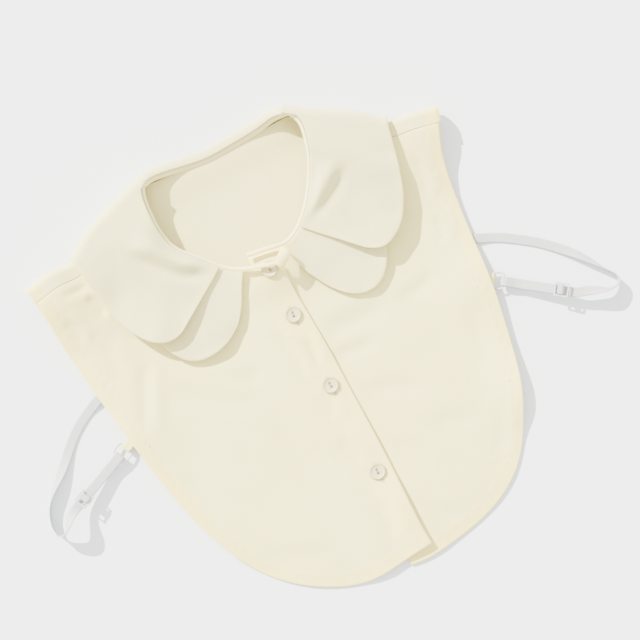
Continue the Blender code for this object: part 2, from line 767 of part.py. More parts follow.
def make_elastic(name, rows, count):
    """A flat elastic along its route, twisted where it stands on its edge."""
    route = natural_spline(rows)
    route = along(route, np.linspace(0, 1, count))
    way = np.gradient(route[:, :3], axis=0)
    way /= np.linalg.norm(way, axis=1)[:, None]
    level = np.cross(way, (0.0, 0.0, 1.0))
    level /= np.linalg.norm(level, axis=1)[:, None]
    up = np.cross(level, way)
    tilt = np.radians(route[:, 3])[:, None]
    across = level * np.cos(tilt) + up * np.sin(tilt)
    half = ELASTIC_WIDTH / 2
    route[:, 2] += half * np.abs(np.sin(tilt[:, 0])) + CLOTH / 2 * np.abs(np.cos(tilt[:, 0]))
    middle = np.stack([route[:, :3] - across * half, route[:, :3] + across * half], axis=1)
    return wall(name, middle, CLOTH, WHITE)


def make_ring(name, x, y, heading, z):
    """An oval ring lying flat, its long side across the elastic."""
    mesh = bmesh.new()
    around, section = 20, 6
    rows = []
    angles = 2 * math.pi * np.arange(around) / around
    along_x = np.sign(np.cos(angles)) * np.abs(np.cos(angles)) ** 0.45
    along_y = np.sign(np.sin(angles)) * np.abs(np.sin(angles)) ** 0.45
    centres = np.column_stack([RING_HALF_LENGTH * along_x, RING_HALF_WIDTH * along_y])
    ways = np.roll(centres, -1, axis=0) - np.roll(centres, 1, axis=0)
    ways /= np.linalg.norm(ways, axis=1)[:, None]
    for centre, way in zip(centres, ways):
        outward = np.array([way[1], -way[0]])
        ring = []
        for k in range(section):
            turn = 2 * math.pi * k / section
            flat = centre + outward * RING_WIRE * math.cos(turn)
            ring.append(mesh.verts.new((flat[0] * MM, flat[1] * MM, RING_WIRE * math.sin(turn) * MM)))
        rows.append(ring)
    for i in range(around):
        for k in range(section):
            after, beside = (i + 1) % around, (k + 1) % section
            mesh.faces.new((rows[i][k], rows[after][k], rows[after][beside], rows[i][beside]))
    ring = finish(name, mesh, WHITE, roughness=0.35)
    ring.location = (x * MM, y * MM, z * MM)
    ring.rotation_euler = (0, math.atan(STRAP_RISE), math.radians(heading))


def make_slider(name, x, y, heading, z):
    """A flat slider: two side rails and three bars across the elastic."""
    xs = (-5.0, -4.0, -0.6, 0.6, 4.0, 5.0)
    ys = (-4.9, -3.7, 3.7, 4.9)
    gaps = {(1, 1), (3, 1)}
    mesh = bmesh.new()
    points = {}
    for level in (0, 1):
        for i, px in enumerate(xs):
            for j, py in enumerate(ys):
                height = (level - 0.5) * SLIDER_BAR
                points[i, j, level] = mesh.verts.new((px * MM, py * MM, height * MM))
    cells = [(i, j) for i in range(5) for j in range(3) if (i, j) not in gaps]
    for i, j in cells:
        for level in (0, 1):
            mesh.faces.new([points[i + a, j + b, level] for a, b in ((0, 0), (1, 0), (1, 1), (0, 1))])
        for a, b, c, d, beside in (
            (0, 0, 1, 0, (i, j - 1)),
            (1, 0, 1, 1, (i + 1, j)),
            (1, 1, 0, 1, (i, j + 1)),
            (0, 1, 0, 0, (i - 1, j)),
        ):
            if beside not in cells:
                first, second = (i + a, j + b), (i + c, j + d)
                mesh.faces.new(
                    (points[(*first, 0)], points[(*second, 0)], points[(*second, 1)], points[(*first, 1)])
                )
    slider = finish(name, mesh, WHITE, roughness=0.35)
    slider.location = (x * MM, y * MM, z * MM)
    slider.rotation_euler = (0, math.atan(STRAP_RISE), math.radians(heading))


def make_strip(name, profile, x, y, heading, width, colour):
    """A strip that follows a profile of (distance along its heading, height), level across."""
    turn = math.radians(heading)
    run, height = np.array(profile, float).T
    middle = np.zeros((len(profile), 2, 3))
    for j, offset in enumerate((-width / 2, width / 2)):
        middle[:, j, 0] = x + run * math.cos(turn) - offset * math.sin(turn)
        middle[:, j, 1] = y + run * math.sin(turn) + offset * math.cos(turn)
        middle[:, j, 2] = height
    wall(name, middle, CLOTH, colour)


def half_turn(centre, radius, start, end, steps=6):
    """Profile points round a bar, from one angle to another in degrees."""
    angles = np.radians(np.linspace(start, end, steps + 1))
    return [(centre[0] + radius * math.cos(a), centre[1] + radius * math.sin(a)) for a in angles]


def raised(run, height, pivot):
    """A point of the level strap after the strap is tipped up about the panel's edge."""
    back = pivot - run
    if back <= 0:
        return run, height
    turn = math.atan(STRAP_RISE)
    out = pivot - back * math.cos(turn) + height * math.sin(turn)
    return out, height * math.cos(turn) + back * math.sin(turn)


def make_fittings(side, ring_x, ring_y, slider_x, slider_y):
    """The ring, its tab, the slider, and the elastic's end, which runs from ring to slider."""
    heading = math.degrees(math.atan2(ring_y - slider_y, ring_x - slider_x))
    apart = math.hypot(ring_x - slider_x, ring_y - slider_y)
    inner_bar = apart + RING_HALF_LENGTH
    pivot = inner_bar + STRAP_RISE_START
    way_x, way_y = (ring_x - slider_x) / apart, (ring_y - slider_y) / apart
    run, ring_z = raised(apart, RING_HEIGHT, pivot)
    make_ring("ring_" + side, slider_x + run * way_x, slider_y + run * way_y, heading, ring_z)
    run, slider_z = raised(0.0, SLIDER_HEIGHT, pivot)
    make_slider("slider_" + side, slider_x + run * way_x, slider_y + run * way_y, heading, slider_z)
    round_bar = RING_WIRE + GAP + CLOTH / 2
    low, high = RING_HEIGHT - round_bar, RING_HEIGHT + round_bar
    bar = apart - RING_HALF_LENGTH
    lying = CLOTH + GAP + CLOTH / 2 + 0.1
    profile = [(bar - 3.0, low), (bar - 1.0, low)]
    profile += half_turn((bar, RING_HEIGHT), round_bar, -90, 90)
    profile += [(bar - 2.0, high), (bar - 8.0, lying + 0.6), (bar - 12.0, lying), (6.0, lying)]
    round_slider = SLIDER_HEIGHT - lying
    profile += half_turn((0.0, SLIDER_HEIGHT), round_slider, -90, -270)
    profile += [(2.6, SLIDER_HEIGHT + round_slider)]
    profile = [raised(*point, pivot) for point in profile]
    make_strip("elastic_end_" + side, profile, slider_x, slider_y, heading, ELASTIC_WIDTH, WHITE)
    over_back = CLOTH + GAP + CLOTH / 2 + 0.1
    tab = [(inner_bar + TAB_LENGTH, over_back), (inner_bar + 3.0, over_back)]
    tab += half_turn((inner_bar, RING_HEIGHT), round_bar, 270, 90)
    tab += [(inner_bar + 3.0, high - 0.3), (inner_bar + TAB_LENGTH, over_back + PLY + 0.1)]
    tab = [raised(*point, pivot) for point in tab]
    make_strip("ring_tab_" + side, tab, slider_x, slider_y, heading, ELASTIC_WIDTH, CREAM)


def main():
    for old in list(bpy.data.objects):
        bpy.data.objects.remove(old, do_unlink=True)
    garment = bpy.data.objects.new("garment", None)
    garment.location = (MIDDLE_X * MM, MIDDLE_Y * MM, 0)
    bpy.context.scene.collection.objects.link(garment)

    make_back_panel()
    make_front("front_left", CURVE_NECK_LEFT, OUTER_LEFT, PLACKET_LEFT, -1, over_front_height)
    make_front("front_right", CURVE_NECK_RIGHT, OUTER_RIGHT, PLACKET_RIGHT, 1, front_height)

    make_binding("neck_binding_left", binding_top(-1), -1, DROPS_LEFT, BINDING_WIDTH, 25)
    make_binding("neck_binding_right", binding_top(1), 1, DROPS_RIGHT, BINDING_WIDTH, 25)
    back_seam = respaced(CURVE_NECK_BACK[6:-6], 240)
    make_binding("neck_binding_back", back_seam, -1, DROPS_BACK, BINDING_WIDTH, 21)

    make_lower_petal("collar_lower_left", -1, LOWER_LEFT_FRONT, LOWER_LEFT_EDGE, 9.4, 4.0)
    make_lower_petal("collar_lower_right", 1, LOWER_RIGHT_FRONT, LOWER_RIGHT_EDGE, 6.4, 8.4)
    make_upper_petal("collar_upper_left", -1, UPPER_LEFT_FRONT, UPPER_LEFT_EDGE, 13.5, -4.0)
    make_upper_petal("collar_upper_right", 1, UPPER_RIGHT_FRONT, UPPER_RIGHT_EDGE, 14.5, 3.0)
    make_back_collar()

    for name, x, y in BUTTONS:
        make_button(name, x, y)

    make_elastic("elastic_left", ELASTIC_LEFT, 60)
    make_elastic("elastic_right", ELASTIC_RIGHT, 60)
    for fitting in ELASTIC_FITTINGS:
        make_fittings(*fitting)


main()
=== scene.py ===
"""The looks of the false collar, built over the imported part.

The garment lies face up on a pale floor and is seen from almost straight above. Its tables and
shape functions repeat those of the part's solids in millimetres; each cloth piece is a thin
shell on its solid's form, with the creases, hems, seams and stitches that the solids leave out.
"""

import math

import bmesh
import bpy
import numpy as np
from mathutils import Matrix, Vector


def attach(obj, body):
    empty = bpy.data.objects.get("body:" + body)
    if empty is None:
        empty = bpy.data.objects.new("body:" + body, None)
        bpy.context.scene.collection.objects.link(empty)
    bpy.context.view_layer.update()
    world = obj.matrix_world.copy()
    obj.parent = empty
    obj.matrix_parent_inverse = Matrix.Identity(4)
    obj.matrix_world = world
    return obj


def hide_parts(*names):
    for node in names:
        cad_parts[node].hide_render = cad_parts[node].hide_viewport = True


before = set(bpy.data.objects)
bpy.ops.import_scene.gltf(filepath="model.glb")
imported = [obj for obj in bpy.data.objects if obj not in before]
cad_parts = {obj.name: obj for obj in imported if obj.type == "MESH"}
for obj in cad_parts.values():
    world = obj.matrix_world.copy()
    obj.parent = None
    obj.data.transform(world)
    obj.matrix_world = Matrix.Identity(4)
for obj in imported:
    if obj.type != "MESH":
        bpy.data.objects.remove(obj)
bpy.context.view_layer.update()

MM = 0.001
MIDDLE_X = 0.6
MIDDLE_Y = 120.15

# Sizes of the solids, which the shells follow
CLOTH = 1.0
GAP = 0.3
PLY = CLOTH + GAP
SEAM_BACK_FROM_FOLD = 7.5
SHOULDER_ROLL = 6.2
ARM_ROLL = 7.5
BUTTON_RADIUS = 5.75
BUTTON_THICKNESS = 2.2
BUTTON_HOLE_RADIUS = 0.9
BUTTON_HOLE_SPACING = 2.6
ELASTIC_WIDTH = 6.0
RING_WIRE = 0.7
RING_HALF_LENGTH = 4.0
RING_HALF_WIDTH = 5.6
RING_HEIGHT = 2.65
SLIDER_HEIGHT = 3.4
TAB_LENGTH = 9.0
STRAP_RISE = 0.12
STRAP_RISE_START = 2.0
SLIDER_BAR = 1.0
SURFACE_MID = 0.5 * CLOTH
ROLL_SLACK = 1.6
PANEL_CORNER = 0.30
PETAL_TAIL = 14.0
SHOULDER_HEIGHT = SURFACE_MID + PLY + 2 * SHOULDER_ROLL
SHOULDER_TURN = 118.0
SHOULDER_FALL = 1.6
PANEL_RIM_LIFT = 1.8
FRONT_REACH = 28.0
CHEST_EASE = 0.35
LAP_EASE = 0.8
RIGHT_EDGE_LIFT = 4.4
LEFT_EDGE_LIFT = 3.2
LOWER_EDGE_LIFT = 0.6
CHEST_RIDGE = 1.2
NECK_LIFT = 4.0
NECK_LIFT_REACH = 24.0
THROAT_LIFT = 5.0
THROAT_REACH = 16.0
THROAT = (6.0, -57.0)

# Sizes of the shells, and the heights by which they leave the solids for the look
BACK_ROLL_DEPTH = 6.4
HEM_WIDTH = 8.0
PETAL = 0.8
PETAL_RIM = 1.0
UPPER_SET_BACK = 0.8
LOWER_SET_BACK = 1.2
LOWER_END = (54.0, -8.0)
PLACKET_WIDTH = 20.0
RIM_RISE = 0.9
PLACKET_CURL = 2.2
RIM_DIP = 1.2
NECK_MIDDLE = 4.0
SHOULDER_DIP = 4.6
COLLAR_TUCK = 1.6
BUTTONHOLE_RUN, BUTTONHOLE_PITCH = (-6.2, 8.2), 0.55
STITCH_PITCH = 2.7
STITCH_LENGTH = 2.0
STITCH_RADIUS = 0.17
STITCH_START = 0.6
STITCH_ARCH = 0.16
STITCH_SINK = 0.06
HEM_DROOP = 1.6
BACK_OVER, BACK_BELOW = 0.18, 0.32
BACK_HEM_OVER, BACK_HEM_BELOW = 0.2, 0.18
FRONT_OVER, FRONT_BELOW = 0.30, 0.14
FRONT_HEM_OVER, FRONT_HEM_BELOW = 0.14, 0.34
ELASTIC_HALF, ELASTIC_RIB, ELASTIC_ROWS = 0.3, 0.07, 13
TAB_HALF = 0.34
FAR_FROM_EDGE = 99.0
TUBE_SEAM_WAY = (0.13, 0.21, 0.97)

# Columns: x, y. The seam between neck binding and collar, from the centre front round the left.
NECK_LEFT = (
    (9.5, -60.0), (-5.0, -55.6), (-24.0, -46.3), (-37.2, -32.4), (-45.6, -23.0), (-51.8, -14.0),
    (-54.8, -1.0), (-55.0, 10.0), (-53.4, 25.0), (-50.5, 32.0),
)
# Columns: x, y. The same seam from the centre front round the right side.
NECK_RIGHT = (
    (-9.5, -44.0), (0.0, -45.6), (8.8, -47.2), (15.5, -48.0), (27.1, -44.4), (42.8, -30.4),
    (50.6, -19.8), (56.6, -9.9), (61.0, 0.1), (64.2, 12.2), (65.0, 22.0), (61.0, 31.5),
)
# Columns: x, y, height of the collar's roll. The rim of the neck at the back, left to right.
NECK_BACK = (
    (-50.5, 32.0, 17.0), (-44.0, 34.4, 12.5), (-34.0, 34.4, 9.4), (-20.0, 32.6, 7.4),
    (-6.0, 30.6, 6.8), (6.0, 30.4, 6.8), (25.0, 31.4, 7.2), (40.0, 32.6, 8.4), (50.0, 33.6, 11.0),
    (61.0, 31.5, 16.5),
)
# Columns: x, y. The shoulder's outer fold, from the neck to the arm.
FOLD_LEFT = (
    (-51.0, 39.6), (-70.0, 33.0), (-89.0, 26.6), (-104.0, 19.6), (-116.0, 12.4), (-132.0, 11.6),
    (-153.0, 8.0),
)
FOLD_RIGHT = (
    (60.5, 38.6), (72.0, 30.2), (84.0, 22.4), (104.0, 10.6), (118.0, -0.6), (132.0, -3.8),
    (152.5, -8.4),
)
# Columns: x, y. The front's armhole and hem, from the placket to the shoulder seam.
OUTER_LEFT = (
    (11.4, -273.6), (-8.0, -275.4), (-34.0, -277.2), (-57.5, -270.6), (-79.8, -257.3),
    (-96.9, -241.0), (-109.6, -221.6), (-120.4, -195.3), (-129.4, -163.0), (-137.4, -119.0),
    (-143.8, -79.6), (-148.6, -44.3), (-151.4, -8.0),
)
OUTER_RIGHT = (
    (-7.0, -280.4), (6.0, -281.6), (30.0, -279.0), (55.3, -273.2), (78.9, -261.6), (97.0, -243.6),
    (109.6, -221.0), (117.4, -201.0), (124.0, -174.0), (129.8, -142.0), (133.6, -105.0),
    (137.6, -66.0), (141.8, -42.0), (148.4, -24.5),
)
# Columns: x, y. The back panel's armholes and hem, from the left shoulder to the right one.
OUTER_BACK = (
    (-153.0, 1.0), (-148.8, -42.0), (-143.4, -79.0), (-136.4, -119.0), (-127.6, -163.0),
    (-118.0, -194.0), (-106.8, -219.5), (-94.0, -238.0), (-77.0, -253.5), (-55.0, -266.0),
    (-28.0, -272.5), (0.0, -274.5), (28.0, -274.0), (54.0, -269.0), (76.0, -257.8), (94.0, -240.4),
    (107.0, -218.6), (115.0, -199.0), (121.6, -173.0), (127.8, -141.0), (132.0, -105.0),
    (136.8, -66.0), (144.0, -39.0), (152.5, -16.0),
)
# Columns: x, y. A petal's front edge from the neck out, then its outer edge on to the fold.
UPPER_LEFT_FRONT = ((-30.0, -41.6), (-39.5, -48.4), (-48.8, -54.4), (-60.8, -62.4), (-71.8, -69.6))
UPPER_LEFT_EDGE = (
    (-71.8, -69.6), (-80.4, -71.6), (-89.2, -69.2), (-96.7, -62.8), (-102.6, -53.6),
    (-107.2, -42.6), (-110.8, -26.0), (-113.8, -9.2), (-115.4, 4.8),
)
UPPER_RIGHT_FRONT = ((32.4, -42.6), (41.3, -51.6), (49.4, -59.8), (56.6, -67.4), (64.6, -75.6))
UPPER_RIGHT_EDGE = (
    (64.6, -75.6), (74.9, -80.6), (84.3, -78.6), (92.6, -73.0), (99.5, -64.4), (105.1, -53.6),
    (109.3, -41.2), (112.8, -28.2), (115.6, -15.7), (117.4, -8.4),
)
LOWER_LEFT_FRONT = ((-17.1, -51.8), (-21.6, -59.2), (-27.6, -70.4), (-35.6, -81.4))
LOWER_LEFT_EDGE = (
    (-35.6, -81.4), (-46.6, -88.8), (-58.5, -92.4), (-69.2, -92.0), (-78.2, -87.4), (-85.7, -76.9),
    (-88.8, -64.0), (-86.0, -48.0), (-76.0, -32.0),
)
LOWER_RIGHT_FRONT = ((15.2, -50.2), (18.2, -59.0), (22.2, -71.4), (29.6, -84.4))
LOWER_RIGHT_EDGE = (
    (29.6, -84.4), (38.4, -95.6), (49.3, -101.8), (60.0, -101.8), (69.5, -95.6), (76.6, -84.0),
    (80.6, -66.0), (80.0, -48.0), (74.0, -32.0),
)
# Columns: x, y. The hem of the collar's back stretch, which lies under the back panel.
UNDER_COLLAR_EDGE = (
    (-112.0, -12.0), (-88.0, -26.0), (-50.0, -36.5), (0.0, -40.0), (48.0, -39.5), (80.0, -35.0),
    (101.0, -27.0),
)
# Columns: name, x, y. The middle of each button.
BUTTONS = (
    ("button_neck", 0.1, -58.6),
    ("button_1", 0.2, -93.2),
    ("button_2", 0.4, -147.7),
    ("button_3", 1.5, -214.3),
)
BUTTON_TURNS = (8.0, -6.0, 4.0, -3.0)
# Columns: share of the way along, slope down towards the opening. The binding's lean.
DROPS_LEFT = ((0.0, 0.12), (0.1, 0.12), (0.5, 1.5), (0.86, 1.6), (1.0, 1.1))
DROPS_RIGHT = ((0.0, 0.3), (0.1, 0.3), (0.45, 1.1), (0.86, 1.2), (1.0, 1.0))
DROPS_BACK = ((0.0, 1.0), (0.16, 0.5), (0.84, 0.5), (1.0, 1.0))
# Columns: x, y, height of the elastic's lower side, tilt in degrees (0 is flat, 90 on edge).
ELASTIC_RIGHT = (
    (124.0, -99.6, 1.35, 0), (131.0, -102.2, 1.4, 0), (137.4, -104.8, 1.0, 0),
    (145.0, -108.2, 0.1, 0), (152.0, -111.8, 0.08, 0), (161.0, -117.8, 0.08, 0),
    (171.0, -125.2, 0.08, 0), (182.0, -135.2, 0.08, 6), (192.4, -146.5, 0.08, 30),
    (201.0, -158.6, 0.08, 66), (206.8, -167.6, 0.12, 88), (209.0, -172.6, 0.35, 92),
    (207.6, -176.6, 1.2, 96), (202.4, -177.6, 3.2, 100), (195.0, -175.8, 6.0, 130),
    (186.0, -172.0, 7.4, 168), (178.0, -168.9, 7.1, 180), (170.5, -163.4, 6.06, 180),
    (160.9, -156.2, 4.62, 180), (151.3, -149.0, 3.18, 180), (145.4, -144.6, 2.57, 180),
    (141.4, -141.6, 2.28, 180),
)
ELASTIC_LEFT = (
    (-131.0, -79.6, 1.35, 0), (-138.0, -81.2, 1.4, 0), (-146.4, -84.0, 1.1, 0),
    (-153.0, -87.0, 0.1, 0), (-160.0, -90.6, 0.08, 0), (-169.3, -97.0, 0.08, 0),
    (-179.0, -106.0, 0.08, -6), (-189.0, -116.0, 0.08, -30), (-199.0, -125.0, 0.08, -66),
    (-206.4, -134.0, 0.08, -86), (-209.8, -143.0, 0.15, -90), (-210.1, -150.0, 1.2, -90),
    (-207.4, -154.4, 4.0, -92), (-202.4, -153.2, 9.0, -108), (-196.4, -147.4, 11.2, -145),
    (-190.4, -142.8, 8.2, -175), (-183.0, -139.5, 5.69, -180), (-172.0, -134.6, 4.25, -180),
    (-163.0, -130.7, 3.07, -180), (-156.4, -127.8, 2.47, -180), (-152.6, -126.1, 2.27, -180),
)
# Columns: x, y. The free edge of each front along the buttons, from under the collar to the hem.
PLACKET_LEFT = (
    (8.6, -76.0), (10.2, -110.0), (11.2, -157.0), (11.5, -217.0), (10.6, -256.0), (11.4, -273.6),
)
PLACKET_RIGHT = ((-9.5, -80.0), (-9.0, -157.0), (-8.6, -217.0), (-7.0, -280.4))
# Columns: x, y. The back panel's edge at the neck, under the collar's roll.
PANEL_RIM = ((-52.0, 30.6), (-34.0, 29.6), (0.0, 27.4), (40.0, 28.4), (58.0, 29.0))
# Columns: side's name, ring's middle (x, y), slider's middle (x, y).
ELASTIC_FITTINGS = (
    ("right", 135.4, -137.1, 170.5, -163.4),
    ("left", -145.7, -123.1, -183.0, -139.5),
)


def smooth_step(x):
    """From 0 to 1 as x goes from 0 to 1, level at both ends."""
    x = np.clip(x, 0, 1)
    return x * x * (3 - 2 * x)


def bell(value, reach):
    """1 where the value is 0, falling off evenly over the reach on both sides."""
    return np.exp(-((value / reach) ** 2))


def unit(rows):
    """The rows of an array, each scaled to length 1."""
    return rows / np.linalg.norm(rows, axis=1)[:, None]


def headings(curve):
    """The direction of a curve at each of its points."""
    return unit(np.gradient(curve, axis=0))


def run_along(line):
    """The distance run along a line at each of its points."""
    return np.concatenate([[0.0], np.cumsum(np.linalg.norm(np.diff(line, axis=0), axis=1))])


def looked_up(curve, at, run):
    """Points of a curve at the values at, where run holds the value of each of its points."""
    return np.stack([np.interp(at, run, column) for column in curve.T], axis=-1)


def natural_spline(rows, samples=240):
    """Evenly spaced points on a natural cubic spline through the rows."""
    points = np.array(rows, float)
    steps = np.sqrt(np.linalg.norm(np.diff(points[:, :2], axis=0), axis=1))
    knots = np.concatenate([[0.0], np.cumsum(steps)])
    count = len(points)
    system = np.eye(count)
    right = np.zeros_like(points)
    for i in range(1, count - 1):
        before, after = steps[i - 1], steps[i]
        system[i, i - 1 : i + 2] = before, 2 * (before + after), after
        slope_after = (points[i + 1] - points[i]) / after
        slope_before = (points[i] - points[i - 1]) / before
        right[i] = 6 * (slope_after - slope_before)
    bend = np.linalg.solve(system, right)
    at = np.linspace(0, knots[-1], 8 * samples)
    i = np.clip(np.searchsorted(knots, at, side="right") - 1, 0, count - 2)
    step = steps[i][:, None]
    a = (knots[i + 1] - at)[:, None] / step
    b = 1 - a
    curve = a * points[i] + b * points[i + 1]
    curve += ((a**3 - a) * bend[i] + (b**3 - b) * bend[i + 1]) * step**2 / 6
    return respaced(curve, samples)


def respaced(curve, samples, columns=2):
    """The curve again with this many points, evenly spaced in its first columns."""
    curve = np.asarray(curve, float)
    run = run_along(curve[:, :columns])
    return looked_up(curve, np.linspace(0, run[-1], samples), run)


def along(curve, t):
    """Points of an evenly spaced curve at the fractions t of its length."""
    return looked_up(curve, np.clip(t, 0, 1) * (len(curve) - 1), np.arange(len(curve)))


def shifted(curve, distance):
    """A plan curve moved sideways, to the left of its direction where the distance is positive."""
    way = headings(curve[:, :2])
    moved = np.array(curve, float)
    moved[:, 0] -= np.asarray(distance) * way[:, 1]
    moved[:, 1] += np.asarray(distance) * way[:, 0]
    return moved


def nearest(curve, place):
    """The index of the curve's point nearest to a place on the plan."""
    return np.linalg.norm(curve[:, :2] - np.array(place), axis=1).argmin()


def crossing(first, second):
    """The places, as indices, where two plan curves come nearest to each other."""
    apart = np.linalg.norm(first[:, None, :2] - second[None, :, :2], axis=2)
    return np.unravel_index(apart.argmin(), apart.shape)


CURVE_NECK_LEFT = natural_spline(NECK_LEFT)
CURVE_NECK_RIGHT = natural_spline(NECK_RIGHT)
CURVE_NECK_BACK = natural_spline(NECK_BACK)
CURVE_NECK_BACK[:, 2] -= RIM_DIP * smooth_step(
    (46 - np.abs(CURVE_NECK_BACK[:, 0] - NECK_MIDDLE)) / 26
)
NECK_POINTS = np.concatenate([CURVE_NECK_LEFT[::4], CURVE_NECK_RIGHT[::4]])
CURVE_UNDER_COLLAR = natural_spline(UNDER_COLLAR_EDGE)
CURVE_FOLD = {-1: natural_spline(FOLD_LEFT), 1: natural_spline(FOLD_RIGHT)}


def roll_axis(side, radius):
    """The plan curve where a roll of this radius leaves the flat, from the neck out to the arm."""
    return shifted(CURVE_FOLD[side], -side * radius)


PANEL_AXIS = {side: roll_axis(side, SHOULDER_ROLL + ROLL_SLACK) for side in (-1, 1)}
PANEL_SEAM = {
    side: roll_axis(side, SHOULDER_ROLL + ROLL_SLACK + SEAM_BACK_FROM_FOLD) for side in (-1, 1)
}


def curve_y(curve, x):
    """The y of a plan curve at each x."""
    order = np.argsort(curve[:, 0])
    return np.interp(x, curve[order, 0], curve[order, 1])


def below_seam(x, y):
    """How far a point lies towards the hem from the shoulder seams, 0 above them."""
    left = curve_y(PANEL_SEAM[-1], x)
    right = curve_y(PANEL_SEAM[1], x)
    seam = np.where(x < 0, left, right)
    return np.maximum(seam - y, 0)


def gap_to(x, y, points):
    """The plan distance from places to the nearest of some points."""
    dx = x[..., None] - points[:, 0]
    dy = y[..., None] - points[:, 1]
    return np.sqrt((dx * dx + dy * dy).min(axis=-1))


def shoulder_height(x):
    """The middle of the cloth where it runs flat over the shoulder."""
    dip = SHOULDER_DIP * bell(np.abs(x) - SHOULDER_TURN, 12)
    return SHOULDER_HEIGHT - SHOULDER_FALL * smooth_step((np.abs(x) - SHOULDER_TURN) / 34) - dip


def back_height(x, y):
    """The middle of the back panel: flat, one ply up over the collar's back stretch."""
    over_collar = smooth_step((y - curve_y(CURVE_UNDER_COLLAR, x) + 42) / 18)
    rim = PANEL_RIM_LIFT * smooth_step((y - 6) / 24) * smooth_step((66 - np.abs(x)) / 14)
    return SURFACE_MID + PLY * over_collar + rim


def front_height(x, y):
    """The middle of a front: high at the shoulders, raised round the neck, low over the chest."""
    below = below_seam(x, y)
    chest = back_height(x, y) + PLY + CHEST_EASE
    height = chest + (shoulder_height(x) - chest) * bell(below, FRONT_REACH)
    near_neck = bell(gap_to(x, y, NECK_POINTS), NECK_LIFT_REACH)
    off_seam = 1 - bell(below, 16)
    above_chest = smooth_step((y + 50) / 30)
    height = height + NECK_LIFT * near_neck * off_seam * above_chest
    right_edge = smooth_step((x - 80) / 40) * smooth_step((-30 - y) / 40)
    over_right_tab = bell(y + 132, 24)
    over_left_tab = bell(y + 118, 22)
    flat_low = 1 - smooth_step((-222 - y) / 26)
    right_edge = right_edge * (0.25 * flat_low + bell(y + 208, 28) + 0.8 * over_right_tab)
    lower_edge = smooth_step((-214 - y) / 60)
    left_edge = smooth_step((-x - 100) / 40) * smooth_step((-30 - y) / 40)
    left_edge = left_edge * (0.5 + 0.5 * over_left_tab)
    height = height + RIGHT_EDGE_LIFT * right_edge
    height = height + LOWER_EDGE_LIFT * lower_edge + LEFT_EDGE_LIFT * left_edge
    ridge = bell(x + 72 + 0.1 * y, 16) * smooth_step((-86 - y) / 26)
    ridge = ridge * smooth_step((y + 200) / 60)
    throat = ((x - THROAT[0]) ** 2 + (y - THROAT[1]) ** 2) / THROAT_REACH**2
    return height + CHEST_RIDGE * ridge + THROAT_LIFT * np.exp(-throat)


def over_front_height(x, y):
    """The left front, which laps one ply over the right one at the placket."""
    return front_height(x, y) + (PLY + LAP_EASE) * smooth_step((x + 46) / 28)


def grid_of(us, vs):
    """Arrays of u and v for every point of a grid."""
    return np.meshgrid(us, vs, indexing="ij")


def patch(inner, outer, first, last, u, v):
    """A plan patch at arrays of u, along inner and outer, and v, from inner to outer."""
    a, b = along(inner, u)[..., :2], along(outer, u)[..., :2]
    c, d = along(first, v)[..., :2], along(last, v)[..., :2]
    u, v = u[..., None], v[..., None]
    corners = (1 - u) * (1 - v) * inner[0, :2] + u * (1 - v) * inner[-1, :2]
    corners = corners + (1 - u) * v * outer[0, :2] + u * v * outer[-1, :2]
    return (1 - v) * a + v * b + (1 - u) * c + u * d - corners


def ripple(x, y, wavelength, seed):
    """A smooth uneven field between about -1 and 1, the same on every run."""
    field = np.zeros_like(x)
    for k in range(5):
        angle = 2.4 * k + seed
        length = wavelength * (0.7 + 0.23 * k)
        turn = x * math.cos(angle) + y * math.sin(angle)
        aside = x * math.sin(angle) - y * math.cos(angle)
        sway = 0.8 * np.sin(aside / (0.6 * wavelength) + seed * k)
        field += np.sin(2 * math.pi * turn / length + sway + 1.7 * k * seed)
    return field / 3.2


def crease(x, y, path, depth, width, crest=0.0):
    """A soft trough along a path, with a crest on its left side, both fading out at the ends."""
    curve = natural_spline(path, 60)[:, :2] if len(path) > 2 else respaced(path, 60)
    way = headings(curve)
    dx = x[..., None] - curve[:, 0]
    dy = y[..., None] - curve[:, 1]
    apart = dx * dx + dy * dy
    near = apart.argmin(axis=-1)
    gap = np.sqrt(np.take_along_axis(apart, near[..., None], -1)[..., 0])
    signed = way[near, 0] * (y - curve[near, 1]) - way[near, 1] * (x - curve[near, 0])
    share = near / (len(curve) - 1)
    ends = smooth_step(share / 0.3) * smooth_step((1 - share) / 0.3)
    trough = -depth * bell(gap, width)
    ridge = crest * bell(signed - 1.7 * width, 1.1 * width) * (gap < 6 * width)
    return (trough + ridge) * ends


def creases(x, y, table):
    """The sum of a table's folds. Columns: depth, half width, crest, path of (x, y) rows."""
    folds = (crease(x, y, path, depth, width, crest) for depth, width, crest, path in table)
    return sum(folds, 0 * x)


